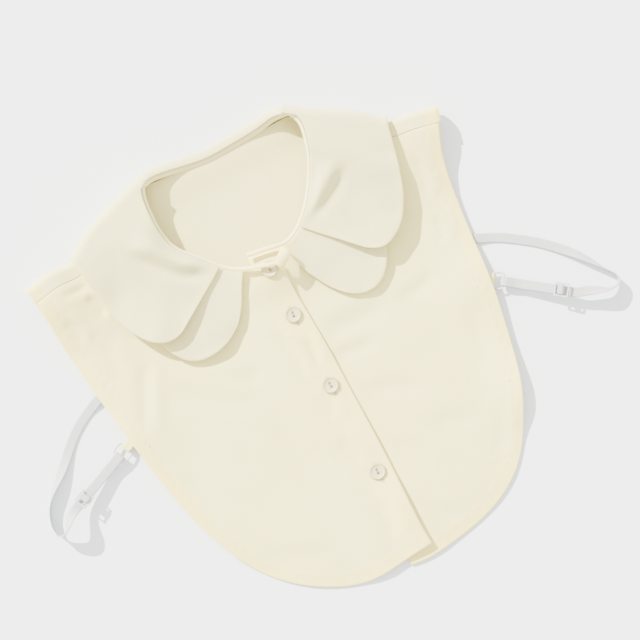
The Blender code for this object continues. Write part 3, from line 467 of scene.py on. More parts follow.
# Columns: depth, half width, crest, path. Negative depths are ridges.
FOLDS_LEFT = (
    (1.3, 5.0, 0.9, ((-101.9, -68.4), (-110.1, -85.6), (-118.3, -102.8), (-127.2, -122.8))),
    (2.0, 3.8, 1.4, ((-119.9, -16.1), (-115.2, -24.7), (-112.4, -36.9))),
    (1.6, 3.4, 1.2, ((-135.6, -8.0), (-124.7, -10.6), (-113.1, -9.0))),
    (0.9, 3.6, 0.6, ((-141.4, -24.9), (-136.7, -33.5), (-135.6, -46.3))),
    (0.7, 6.0, 0.4, ((-124.1, -47.7), (-123.8, -64.7), (-128.4, -85.3))),
    (0.9, 8.0, 0.4, ((-105.5, -97.3), (-82.0, -114.1), (-53.7, -133.4), (-37.9, -135.5))),
    (0.7, 6.0, 0.4, ((-70.8, -100.0), (-52.2, -115.8), (-29.7, -116.8))),
    (1.0, 3.6, 0.7, ((-1.0, -110.2), (0.6, -120.3), (0.4, -134.0))),
    (0.9, 4.0, 0.6, ((-19.6, -94.4), (-14.7, -108.5), (-11.6, -126.2), (-13.7, -138.9))),
    (0.8, 4.0, 0.5, ((-8.9, -147.5), (-5.5, -158.5), (-8.1, -169.4))),
    (1.0, 5.5, 0.6, ((-13.2, -182.1), (-7.3, -194.4), (-3.2, -207.2))),
    (0.7, 7.0, 0.3, ((-38.6, -178.1), (-24.8, -189.8), (-15.4, -210.1))),
    (0.8, 5.0, 0.5, ((-6.0, -230.3), (-6.9, -246.7), (-7.2, -261.9))),
    (0.6, 7.0, 0.3, ((-116.7, -151.2), (-109.4, -174.2), (-99.8, -195.3))),
    (0.6, 6.0, 0.3, ((-91.7, -224.0), (-71.3, -240.8), (-44.7, -248.5))),
    (0.5, 8.0, 0.3, ((-77.1, -148.8), (-67.2, -177.0), (-53.7, -207.0))),
)
FOLDS_RIGHT = (
    (1.3, 8.0, 0.6, ((8.0, -114.9), (33.5, -116.0), (67.0, -116.5))),
    (1.0, 5.0, 0.6, ((5.9, -130.7), (22.9, -133.4), (45.4, -134.4))),
    (0.8, 5.0, 0.5, ((67.0, -116.5), (85.2, -116.8), (101.2, -109.8))),
    (0.8, 4.0, 0.6, ((116.9, -76.6), (117.4, -86.0), (114.7, -98.4))),
    (0.9, 4.0, 0.6, ((123.7, -31.1), (122.8, -50.5), (118.9, -66.9))),
    (0.7, 7.0, 0.4, ((111.6, -139.8), (105.1, -167.0), (94.9, -195.4))),
    (0.7, 6.0, 0.4, ((14.5, -164.3), (36.9, -168.3), (58.6, -182.7))),
    (0.6, 6.0, 0.4, ((18.2, -198.4), (30.1, -213.8), (36.5, -234.0))),
    (0.6, 5.0, 0.4, ((96.5, -207.0), (90.1, -228.2), (75.2, -245.0))),
    (0.6, 6.0, 0.3, ((46.7, -205.6), (63.1, -206.5), (76.3, -216.4))),
    (0.7, 5.0, 0.4, ((21.1, -245.9), (27.0, -258.2), (38.4, -265.7))),
)
FOLDS_BACK = (
    (0.5, 8.0, 0.2, ((-30.0, -14.0), (-6.0, -4.0), (20.0, -12.0))),
    (0.4, 6.0, 0.2, ((10.0, -34.0), (24.0, -14.0), (30.0, 8.0))),
    (0.7, 9.0, 0.3, ((-90.0, -90.0), (-70.0, -140.0), (-80.0, -200.0))),
    (0.7, 9.0, 0.3, ((80.0, -90.0), (92.0, -140.0), (74.0, -200.0))),
    (0.5, 7.0, 0.2, ((-30.0, -120.0), (-14.0, -170.0), (-30.0, -230.0))),
    (0.5, 7.0, 0.2, ((34.0, -120.0), (26.0, -170.0), (36.0, -230.0))),
)
# Columns: x, y. The valley in each upper petal.
VALLEY_LEFT = ((-84.0, -3.0), (-71.0, -17.5), (-59.5, -31.0), (-47.0, -39.5), (-34.0, -41.5))
VALLEY_RIGHT = ((34.1, -41.2), (47.5, -39.0), (58.5, -34.5), (73.9, -24.1), (80.6, -15.4))
# Columns: x, y, heading in degrees. Short hand stitches.
TACKS_LEFT = ((-127.5, -127.9, 70.0),)
TACKS_RIGHT = ((133.8, -103.0, 100.0), (120.2, -135.0, 80.0), (109.4, -201.5, 75.0))
# Columns: x, y, rise above the front. The turned-over top corner of the left placket.
PLACKET_CORNER = ((4.8, -57.0, 6.3), (14.5, -49.3, 6.4), (17.6, -56.6, 7.4), (7.6, -64.0, 5.2))


def hem_pucker(x, y, edge_gap, strength):
    """Fine uneven puckers across the hem, drawn up by its stitches."""
    band = bell(edge_gap - HEM_WIDTH, 5.0)
    return strength * band * ripple(x, y, 7.0, 3.1) * (0.6 + 0.4 * ripple(x, y, 40.0, 1.3))


def calmed(x, y):
    """1 where a front may crease, down to 0 under the collar, at the seams and at the buttons."""
    low = smooth_step(-(y + 60) / 30)
    aside = smooth_step((np.abs(x) - 106) / 9) * smooth_step(below_seam(x, y) / 12)
    calm = np.maximum(low, aside)
    for _, button_x, button_y in BUTTONS:
        apart = (x - button_x) ** 2 + (y - button_y) ** 2
        calm = calm * (1 - bell(apart, 90.0))
    return calm


def droop(y, edge_gap):
    """How far the lower hem sinks towards the surface."""
    return HEM_DROOP * bell(edge_gap, 16.0) * smooth_step((-y - 214) / 30)


def left_front_z(x, y, edge_gap):
    """The middle of the left front with its creases, at a distance from its hem's edge."""
    calm = calmed(x, y)
    z = over_front_height(x, y) + creases(x, y, FOLDS_LEFT) * calm - droop(y, edge_gap)
    curl = PLACKET_CURL * smooth_step((-y - 212) / 30) * smooth_step((x + 14) / 20)
    z = z + curl
    return z + 0.35 * ripple(x, y, 62.0, 0.7) * calm + hem_pucker(x, y, edge_gap, 0.22)


def right_front_z(x, y, edge_gap):
    """The middle of the right front with its creases, at a distance from its hem's edge."""
    calm = calmed(x, y) * smooth_step((x + 4) / 26)
    z = front_height(x, y) + creases(x, y, FOLDS_RIGHT) * calm - droop(y, edge_gap)
    return z + 0.35 * ripple(x, y, 58.0, 1.9) * calm + hem_pucker(x, y, edge_gap, 0.3)


def linked(name, data):
    """A new object in the scene."""
    made = bpy.data.objects.new(name, data)
    bpy.context.scene.collection.objects.link(made)
    return made


def new_mesh(name, points, faces, shift=(MIDDLE_X, MIDDLE_Y, 0.0)):
    """A mesh from points in millimetres, moved from the photo's origin to the frame's."""
    mesh = bpy.data.meshes.new(name)
    mesh.from_pydata(((np.array(points) + np.array(shift)) * MM).tolist(), [], faces)
    return mesh


def closed_mesh(name, work):
    """The mesh of a bmesh, which is let go."""
    mesh = bpy.data.meshes.new(name)
    work.to_mesh(mesh)
    work.free()
    return mesh


def put_down(piece, x, y, z, turns):
    """Moves a piece that was built at the origin to its place, with its turns about x, y and z."""
    piece.location = ((x + MIDDLE_X) * MM, (y + MIDDLE_Y) * MM, z * MM)
    piece.rotation_euler = turns


def shell(name, node, middle, over, below, material, uv=None, tint=0.0, slot="cloth"):
    """A closed shell of cloth: over and below are its reach on each side of the middle grid.

    The over side is the one whose normal points up at the grid's first corner. The rim is rounded.
    """
    rows, cols = middle.shape[:2]
    normal = np.cross(np.gradient(middle, axis=0), np.gradient(middle, axis=1))
    length = np.linalg.norm(normal, axis=2)[..., None]
    normal = normal / np.maximum(length, 1e-9)
    if normal[:3, :3, 2].mean() < 0:
        normal = -normal
    over = np.broadcast_to(np.asarray(over, float), (rows, cols))[..., None]
    below = np.broadcast_to(np.asarray(below, float), (rows, cols))[..., None]
    top = middle + normal * over
    bottom = middle - normal * below
    index = np.arange(rows * cols).reshape(rows, cols)
    loop = np.concatenate([index[:, 0], index[-1, 1:], index[-2::-1, -1], index[0, -2:0:-1]])
    inner = np.empty_like(index)
    inner[:, 0], inner[:, -1] = index[:, 1], index[:, -2]
    inner[0, 1:-1], inner[-1, 1:-1] = index[1, 1:-1], index[-2, 1:-1]
    inner = inner.reshape(-1)[loop]
    flat_top, flat_bottom = top.reshape(-1, 3), bottom.reshape(-1, 3)
    centre = (flat_top[loop] + flat_bottom[loop]) / 2
    out = centre - (flat_top[inner] + flat_bottom[inner]) / 2
    out /= np.maximum(np.linalg.norm(out, axis=1), 1e-9)[:, None]
    thick = np.linalg.norm(flat_top[loop] - flat_bottom[loop], axis=1)[:, None]
    rim = centre + out * thick * 0.42
    count = rows * cols
    points = np.concatenate([flat_top, flat_bottom, rim])
    a, b = index[:-1, :-1].ravel(), index[1:, :-1].ravel()
    c, d = index[1:, 1:].ravel(), index[:-1, 1:].ravel()
    upper = np.stack([a, b, c, d], axis=1)
    lower = np.stack([d, c, b, a], axis=1) + count
    after = np.roll(loop, -1)
    ring = 2 * count + np.arange(len(loop))
    ring_after = np.roll(ring, -1)
    side_up = np.stack([loop, ring, ring_after, after], axis=1)
    side_down = np.stack([ring, loop + count, after + count, ring_after], axis=1)
    faces = np.concatenate([upper, lower, side_up, side_down])
    mesh = new_mesh(name, points, faces.tolist())
    if uv is None:
        uv = developed(middle)
    uv = np.concatenate([uv.reshape(-1, 2)] * 2 + [uv.reshape(-1, 2)[loop]]) * MM
    corner = np.zeros(len(mesh.loops), dtype=np.int32)
    mesh.loops.foreach_get("vertex_index", corner)
    layer = mesh.uv_layers.new(name="Cloth")
    layer.data.foreach_set("uv", uv[corner].astype(np.float32).ravel())
    tint = np.broadcast_to(np.asarray(tint, float), (rows, cols)).reshape(-1)
    tint = np.concatenate([tint, tint, tint[loop]])
    mesh.attributes.new("tint", "FLOAT", "POINT").data.foreach_set("value", tint.astype(np.float32))
    return place(name, mesh, material, [node], slot)


def developed(middle):
    """Cloth coordinates in millimetres: the distances run over the grid along both of its ways."""
    along_u = np.linalg.norm(np.diff(middle, axis=0), axis=2)
    along_v = np.linalg.norm(np.diff(middle, axis=1), axis=2)
    u = np.concatenate([np.zeros((1, middle.shape[1])), np.cumsum(along_u, axis=0)])
    v = np.concatenate([np.zeros((middle.shape[0], 1)), np.cumsum(along_v, axis=1)], axis=1)
    return np.dstack([u, v])


def place(name, mesh, material, nodes, slot, angle=180.0):
    """Makes the mesh a piece of the object: faces out, smooth, on the root body."""
    work = bmesh.new()
    work.from_mesh(mesh)
    bmesh.ops.recalc_face_normals(work, faces=work.faces[:])
    work.to_mesh(mesh)
    work.free()
    mesh.shade_smooth()
    if angle < 180:
        mesh.set_sharp_from_angle(angle=math.radians(angle))
    mesh.materials.append(material)
    piece = linked(name, mesh)
    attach(piece, "root")
    if nodes:
        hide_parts(*nodes)
    return piece


def tubes(name, paths, radius, sides, material, slot, taper=True):
    """One mesh of round tubes, closed and rounded off at their ends."""
    verts, faces = [], []
    turn = 2 * math.pi * np.arange(sides) / sides
    for path in paths:
        path = np.asarray(path, float)
        way = headings(path)
        aside = unit(np.cross(way, TUBE_SEAM_WAY))
        up = np.cross(aside, way)
        share = np.linspace(0, 1, len(path))
        thin = np.ones(len(path))
        if taper:
            thin = np.clip(2.2 * np.sqrt(np.sin(math.pi * share)), 0.25, 1.0)
        start = len(verts)
        for centre, a, b, r in zip(path, aside, up, thin * radius):
            ring = centre + r * (np.cos(turn)[:, None] * a + np.sin(turn)[:, None] * b)
            verts.extend(ring.tolist())
        for k in range(len(path) - 1):
            for s in range(sides):
                t = (s + 1) % sides
                low, high = start + k * sides, start + (k + 1) * sides
                faces.append((low + s, low + t, high + t, high + s))
        faces.append(tuple(start + s for s in range(sides)))
        faces.append(tuple(start + (len(path) - 1) * sides + s for s in range(sides)))
    return place(name, new_mesh(name, verts, faces), material, (), slot, angle=70.0)


def stitch_paths(line):
    """Stitches that run along a line on the cloth, each one an arch out of it and back."""
    line = np.asarray(line, float)
    run = run_along(line)
    paths = []
    for start in np.arange(STITCH_START, run[-1] - STITCH_LENGTH, STITCH_PITCH):
        at = start + STITCH_LENGTH * np.linspace(0, 1, 5)
        points = looked_up(line, at, run)
        points[:, 2] += STITCH_ARCH * np.sin(math.pi * np.linspace(0, 1, 5)) - STITCH_SINK
        paths.append(points)
    return paths


def make_back_panel():
    """The back: single cloth with a hem, and a strip at each shoulder that rolls over forwards."""
    count, flat_rows, roll_rows = 220, 62, 26
    us = np.linspace(0, 1, count)
    outline = natural_spline(OUTER_BACK)
    first, last = int(PANEL_CORNER * len(outline)), int((1 - PANEL_CORNER) * len(outline))
    left_side = respaced(outline[: first + 1], 240)
    bottom = respaced(outline[first : last + 1], 240)
    right_side = respaced(outline[last:], 240)[::-1]
    rim = natural_spline(PANEL_RIM)
    left_axis = PANEL_AXIS[-1][PANEL_AXIS[-1][:, 0] < -56.0]
    right_axis = PANEL_AXIS[1][PANEL_AXIS[1][:, 0] > 64.0]
    top = respaced(np.concatenate([left_axis[::-1], rim, right_axis]), 480)
    top[0], top[-1] = left_side[0], right_side[0]
    u, v = grid_of(us, np.linspace(0, 1, flat_rows))
    base = patch(bottom, top, left_side[::-1], right_side[::-1], u, v)
    ends = base[:, -1]
    # Beyond these x the panel's edge rolls over the shoulder; between them it ends at the neck.
    neck_left, neck_right = -61.0, 72.0
    reach = np.where(ends[:, 0] < 0, neck_left - ends[:, 0], ends[:, 0] - neck_right)
    rolled = smooth_step(reach / 5.0)
    middle = np.zeros((count, flat_rows + roll_rows, 3))
    height = back_height(base[..., 0], base[..., 1])
    inside = smooth_step((-base[..., 1] + 6) / 30)
    lift = np.maximum(creases(base[..., 0], base[..., 1], FOLDS_BACK), 0)
    height = height + 0.6 * lift * (1 - inside)
    at_rim = smooth_step((base[..., 1] - 4) / 22)
    at_rim = at_rim * smooth_step((64 - np.abs(base[..., 0] - NECK_MIDDLE)) / 14)
    height = height + RIM_RISE * at_rim
    middle[:, :flat_rows, :2] = base
    middle[:, :flat_rows, 2] = height
    uv = np.zeros((count, flat_rows + roll_rows, 2))
    uv[:, :flat_rows] = base
    for i, end in enumerate(ends):
        side = -1 if end[0] < 0 else 1
        axis = PANEL_AXIS[side]
        near = nearest(axis, end)
        way = np.gradient(axis[:, :2], axis=0)[near]
        out = np.array([-way[1], way[0]]) * side
        out = out / np.linalg.norm(out)
        low = height[i, -1]
        radius = (shoulder_height(end[0]) - low) / 2
        total = 2.0 + rolled[i] * (math.pi * radius + SEAM_BACK_FROM_FOLD - 2 * GAP - 2.0)
        run = total * (np.arange(roll_rows) + 1) / roll_rows
        angle = np.minimum(run / radius, math.pi)
        back = np.maximum(run - math.pi * radius, 0.0)
        middle[i, flat_rows:, :2] = end + out * (radius * np.sin(angle) - back)[:, None]
        middle[i, flat_rows:, 2] = low + radius * (1 - np.cos(angle))
        uv[i, flat_rows:] = end + out * run[:, None]
    gap_left = gap_to(middle[..., 0], middle[..., 1], left_side[::3])
    gap_right = gap_to(middle[..., 0], middle[..., 1], right_side[::3])
    gap_low = gap_to(middle[..., 0], middle[..., 1], bottom[::3])
    hem_gap = np.minimum(np.minimum(gap_left, gap_right), gap_low)
    hem = smooth_step((HEM_WIDTH + 0.6 - hem_gap) / 0.8)
    # The back's material is darker than the fronts': painted shade for the back seen down the neck
    # opening.
    return shell(
        "cloth_back", "back_panel", middle, BACK_OVER + BACK_HEM_OVER * hem,
        BACK_BELOW + BACK_HEM_BELOW * hem, MATERIALS["back"], uv=uv, tint=hem,
    )


def front_grid(neck, outer, placket, side):
    """The plan of a front: columns fan out from the neck seam, and the last rows are the hem."""
    count, rows, hem_rows = 270, 84, 9
    neck_edge = shifted(neck, -side * 0.4)
    neck_cut, seam_cut = crossing(neck_edge, PANEL_SEAM[side])
    seam = PANEL_SEAM[side][seam_cut + 2 :]
    neck_run = respaced(np.concatenate([neck_edge[: neck_cut - 3, :2], seam[:1, :2]]), 240)
    first = natural_spline([tuple(neck_run[0]), *placket])
    last = respaced(seam[:, :2], 240)
    outline = np.array(outer)
    outline[-1, :2] = seam[-1, :2]
    outline = natural_spline(outline, 480)
    us = np.linspace(0, 1, count)
    width = np.linalg.norm(along(outline, us)[:, :2] - along(neck_run, us)[:, :2], axis=1)
    hem_share = (HEM_WIDTH / width)[:, None]
    inside = np.linspace(0, 1, rows)[None, :] * (1 - hem_share)
    band = 1 - hem_share * (1 - np.linspace(0, 1, hem_rows + 1)[None, 1:])
    v = np.concatenate([inside, band], axis=1)
    u = np.broadcast_to(us[:, None], v.shape)
    return patch(neck_run, outline, first, last, u, v), outline, first


def make_front(word, neck, outer, placket, side, height):
    """A front: one ply, three at the hem and two along the placket, with its stitches."""
    plan, outline, first = front_grid(neck, outer, placket, side)
    x, y = plan[..., 0], plan[..., 1]
    gap = gap_to(x, y, outline[::3])
    middle = np.dstack([plan, height(x, y, gap)])
    hem = smooth_step((HEM_WIDTH + 0.5 - gap) / 0.8)
    from_edge = gap_to(x, y, first[::3])
    strip = smooth_step((PLACKET_WIDTH + 0.5 - from_edge) / 1.0)
    plies = np.maximum(hem, 0.7 * strip)
    piece = shell(
        "cloth_front_" + word, "front_" + word, middle, FRONT_OVER + FRONT_HEM_OVER * plies,
        FRONT_BELOW + FRONT_HEM_BELOW * plies, MATERIALS["cloth"], uv=plan,
        tint=np.maximum(hem, 0.45 * strip),
    )
    inset = shifted(outline[6:-4], side * (HEM_WIDTH - 1.0))
    lift = FRONT_OVER + FRONT_HEM_OVER
    lines = [on_front(inset, height, outline, lift)]
    seam_line = shifted(first[10:-8], side * (PLACKET_WIDTH - 1.0))
    lines.append(on_front(respaced(seam_line, 400), height, outline, lift))
    paths = [path for line in lines for path in stitch_paths(line)]
    threads = tubes("stitches_front_" + word, paths, STITCH_RADIUS, 5, MATERIALS["thread"], "cloth")
    return piece, threads


def on_front(line, height, outline, lift):
    """Points of a plan line on the upper side of a front."""
    line = respaced(line[:, :2], max(len(line), 700))
    gap = gap_to(line[:, 0], line[:, 1], outline[::3])
    return np.column_stack([line, height(line[:, 0], line[:, 1], gap) + lift])


def binding_top(side):
    """The neck seam of one front with the height of the binding's top edge as its third column."""
    curve = CURVE_NECK_LEFT if side < 0 else CURVE_NECK_RIGHT
    height = over_front_height if side < 0 else front_height
    t = np.linspace(0, 1, len(curve))
    lift = 5.2 - smooth_step((t - 0.12) / 0.25)
    top = height(curve[:, 0], curve[:, 1]) + lift
    corner = CURVE_NECK_BACK[0 if side < 0 else -1, 2]
    top = top + (corner - top) * smooth_step((t - 0.72) / 0.28)
    return np.column_stack([curve[:, :2], top])


def make_binding(word, curve, inward, drops, lean=0.0, width=2.6):
    """A bias binding: a narrow padded strip with a stitched edge, which its thread draws up."""
    count, cols = 260, 9
    share_along = np.linspace(0, 1, count)
    seam = along(curve, share_along)
    length = np.linalg.norm(np.diff(seam, axis=0), axis=1).sum()
    drop = np.interp(share_along, *np.array(drops).T) + lean
    plan = width / np.sqrt(1 + drop**2)
    middle = np.zeros((count, cols, 3))
    for k, share in enumerate(np.linspace(0, 1, cols)):
        moved = shifted(seam, inward * plan * share)
        middle[:, k, :2] = moved[:, :2]
        middle[:, k, 2] = seam[:, 2] - drop * plan * share
    across = np.linspace(0, 1, cols)[None, :]
    run = (share_along * length)[:, None]
    rope = 0.07 * np.sin(2 * math.pi * (run / STITCH_PITCH + 0.5 * across))
    swell = 0.32 * np.sin(math.pi * (0.12 + 0.76 * across)) + rope * (1 - across)
    node = "neck_binding_" + word
    piece = shell(
        "binding_" + word, node, middle, 0.16 + swell, 0.35, MATERIALS["binding"], tint=0.3,
        slot="binding_cloth",
    )
    top = middle[:, 2] + np.array([0, 0, 0.52])
    stitches = stitch_paths(respaced(top, 600, 3))
    threads = tubes("stitches_" + node, stitches, 0.13, 5, MATERIALS["thread"], "binding_cloth")
    return piece, threads


def make_placket_corner():
    """The top corner of the upper placket, which turns up over the end of the neck binding."""
    us, vs = np.linspace(0, 1, 22), np.linspace(0, 1, 18)
    u, v = grid_of(us, vs)
    a, b, c, d = np.array(PLACKET_CORNER)[:, None, None, :]
    u, v = u[..., None], v[..., None]
    grid = (1 - u) * (1 - v) * a + u * (1 - v) * b + u * v * c + (1 - u) * v * d
    base = over_front_height(grid[..., 0], grid[..., 1])
    arch = 0.9 * np.sin(math.pi * v[..., 0]) + 0.5 * np.sin(2.6 * u[..., 0])
    grid[..., 2] += base + arch
    grid[..., 0] += 0.7 * np.sin(math.pi * v[..., 0]) * u[..., 0]
    return shell("placket_corner", "front_left", grid, 0.4, 0.4, MATERIALS["cloth"], tint=0.6)


def petal_heights(under, seam_top, start, edge_height, fold_height, clearance, ease=1.0, swell=0.0):
    """Heights over a petal, from the neck seam to its edge, clear of the cloth below."""
    count, steps = under.shape
    u = np.linspace(0, 1, count)[:, None]
    v = np.linspace(0, 1, steps)[None, :]
    outer = edge_height + (fold_height - edge_height) * smooth_step((u - 0.4) / 0.6)
    outer = outer + swell * np.sin(math.pi * np.clip((u - 0.22) / 0.7, 0, 1)) ** 2
    inner = seam_top[:, None] + start
    share = smooth_step(0.85 * v**ease) / smooth_step(0.85)
    return np.maximum(inner * (1 - share) + outer * share, under + clearance)


def petal_shell(word, middle):
    """A petal of two plies, a little fuller where the seam allowance lies inside the edge."""
    u = np.linspace(0, 1, middle.shape[0])[:, None]
    v = np.linspace(0, 1, middle.shape[1])[None, :]
    rim = np.maximum(smooth_step((v - 0.93) / 0.03), smooth_step((0.045 - u) / 0.02))
    half = 0.5 * (PETAL + (PETAL_RIM - PETAL) * rim)
    return shell(
        "petal_" + word, "collar_" + word, middle, half, half, MATERIALS["collar"], tint=0.25 * rim,
        slot="collar_cloth",
    )


def make_upper_petal(word, side, front, edge, edge_height, swell, valley):
    """A large petal: from the neck seam over a soft roll into a valley and on to its free edge."""
    height = left_front_z if side < 0 else right_front_z
    seam = binding_top(side)
    begin = nearest(seam, front[0])
    count, steps, roll_steps = 130, 70, 30
    us, vs = np.linspace(0, 1, count), np.linspace(0, 1, steps)
    inner = shifted(respaced(seam[begin:], 240), -side * UPPER_SET_BACK)
    first = natural_spline([tuple(inner[0, :2]), *front[1:]])
    fold = roll_axis(side, ARM_ROLL)
    reach = nearest(fold, edge[-1])
    last = respaced(fold[: reach + 1, :2], 240)
    inner[-12:, :2] += (last[0] - inner[-1, :2]) * smooth_step(np.arange(12) / 11)[:, None]
    outline = natural_spline([*edge[:-1], tuple(last[-1])])
    u, v = grid_of(us, vs)
    plan = patch(inner, outline, first, last, u, v)
    x, y = plan[..., 0], plan[..., 1]
    base = np.where(below_seam(x, y) > 0, height(x, y, FAR_FROM_EDGE), shoulder_height(x))
    seam_top, at_fold = along(inner, us)[:, 2], SHOULDER_HEIGHT + PLY
    z = petal_heights(base, seam_top, PLY + 0.2, edge_height, at_fold, PLY, 1.0, swell)
    free = smooth_step(v / 0.12) * smooth_step((1 - u) / 0.25)
    # The valley is deeper on the left, and a low ridge runs beside it.
    z += crease(x, y, valley, 1.8 - 0.4 * side, 4.6, 2.0 - 0.5 * side) * free
    z += crease(x - 1 + 6 * side, y - 8, valley, -1.7, 8.0) * free
    z += (0.5 * ripple(x, y, 46.0, 2.2 + side) + 0.9 * ripple(x, y, 30.0, 0.4 + side) * v**3) * free
    z = np.maximum(z, base + PLY - 0.15)
    top = np.dstack([plan, z])
    rolled = np.zeros((roll_steps, steps, 3))
    way = np.gradient(along(last, vs), axis=0)
    out = unit(np.stack([-way[:, 1], way[:, 0]], axis=1) * side)
    high = top[-1, :, 2]
    radius = (high - SURFACE_MID) / 2
    tail = PETAL_TAIL * vs
    for k in range(roll_steps):
        run = (k + 1) / roll_steps * (math.pi * radius + tail)
        angle = np.minimum(run / radius, math.pi)
        back = np.maximum(run - math.pi * radius, 0)
        shift = ARM_ROLL * np.sin(angle) - back
        rolled[k, :, :2] = top[-1, :, :2] + out * shift[:, None]
        rolled[k, :, 2] = high - radius * (1 - np.cos(angle))
    middle = np.concatenate([top, rolled])
    return petal_shell("upper_" + word, middle)


def make_lower_petal(word, side, front, edge, edge_height, side_height):
    """A small petal under the large one, beside the centre front."""
    height = left_front_z if side < 0 else right_front_z
    seam = binding_top(side)
    begin = nearest(seam, front[0])
    close = nearest(seam, (side * LOWER_END[0], LOWER_END[1]))
    us, vs = np.linspace(0, 1, 96), np.linspace(0, 1, 60)
    inner = shifted(respaced(seam[begin:close], 240), -side * LOWER_SET_BACK)
    first = natural_spline([tuple(inner[0, :2]), *front[1:]])
    last = respaced([tuple(inner[-1, :2]), edge[-1]], 240)
    outline = natural_spline(edge)
    u, v = grid_of(us, vs)
    plan = patch(inner, outline, first, last, u, v)
    x, y = plan[..., 0], plan[..., 1]
    under = height(x, y, FAR_FROM_EDGE)
    z = petal_heights(under, along(inner, us)[:, 2], -0.6, edge_height, side_height, PLY + 0.2, 0.7)
    free = smooth_step(v / 0.2) * smooth_step((1 - u) / 0.5)
    z += (0.3 * ripple(x, y, 40.0, 1.2 + side) + 0.6 * ripple(x, y, 26.0, 2.4 + side) * v**3) * free
    z = np.maximum(z, under + PLY)
    middle = np.dstack([plan, z])
    return petal_shell("lower_" + word, middle)


def make_back_collar():
    """The collar round the back of the neck: out over the rim, then under the back panel."""
    count, roll_steps, flat_steps = 150, 26, 16
    share = np.linspace(0, 1, count)
    seam = along(CURVE_NECK_BACK, share)
    out = np.column_stack([np.zeros(count), np.ones(count)])
    depth = np.full((count, 1), BACK_ROLL_DEPTH)
    for side, corner in ((-1, seam[0, :2].copy()), (1, seam[-1, :2].copy())):
        axis = roll_axis(side, ARM_ROLL)[:, :2]
        way = (axis[4] - axis[0]) / np.linalg.norm(axis[4] - axis[0])
        toward_fold = side * np.array([-way[1], way[0]])
        near = smooth_step((2 * side * (share - 0.5) - 0.72) / 0.28)[:, None]
        seam[:, :2] += near * (axis[0] + COLLAR_TUCK * way - corner)
        out += near * (toward_fold - out)
        tuck = smooth_step((2 * side * (share - 0.5) - 0.9) / 0.07)
        depth += near * (ARM_ROLL - 0.9 * tuck[:, None] - depth)
        seam[:, 2] -= 0.9 * tuck
    hem_points = along(CURVE_UNDER_COLLAR, share)
    middle = np.zeros((count, roll_steps + flat_steps, 3))
    high = seam[:, 2] + PLY
    radius = (high - SURFACE_MID) / 2
    for k in range(roll_steps):
        angle = math.pi * k / (roll_steps - 1)
        middle[:, k, :2] = seam[:, :2] + out * depth * math.sin(angle)
        middle[:, k, 2] = SURFACE_MID + radius * (1 + math.cos(angle))
    rolled = middle[:, roll_steps - 1, :2].copy()
    for k in range(flat_steps):
        flat_share = (k + 1) / flat_steps
        middle[:, roll_steps + k, :2] = rolled * (1 - flat_share) + hem_points * flat_share
        middle[:, roll_steps + k, 2] = SURFACE_MID
    half = 0.5 * PETAL
    collar = MATERIALS["collar"]
    return shell("collar_roll_back", "collar_back", middle, half, half, collar, slot="collar_cloth")


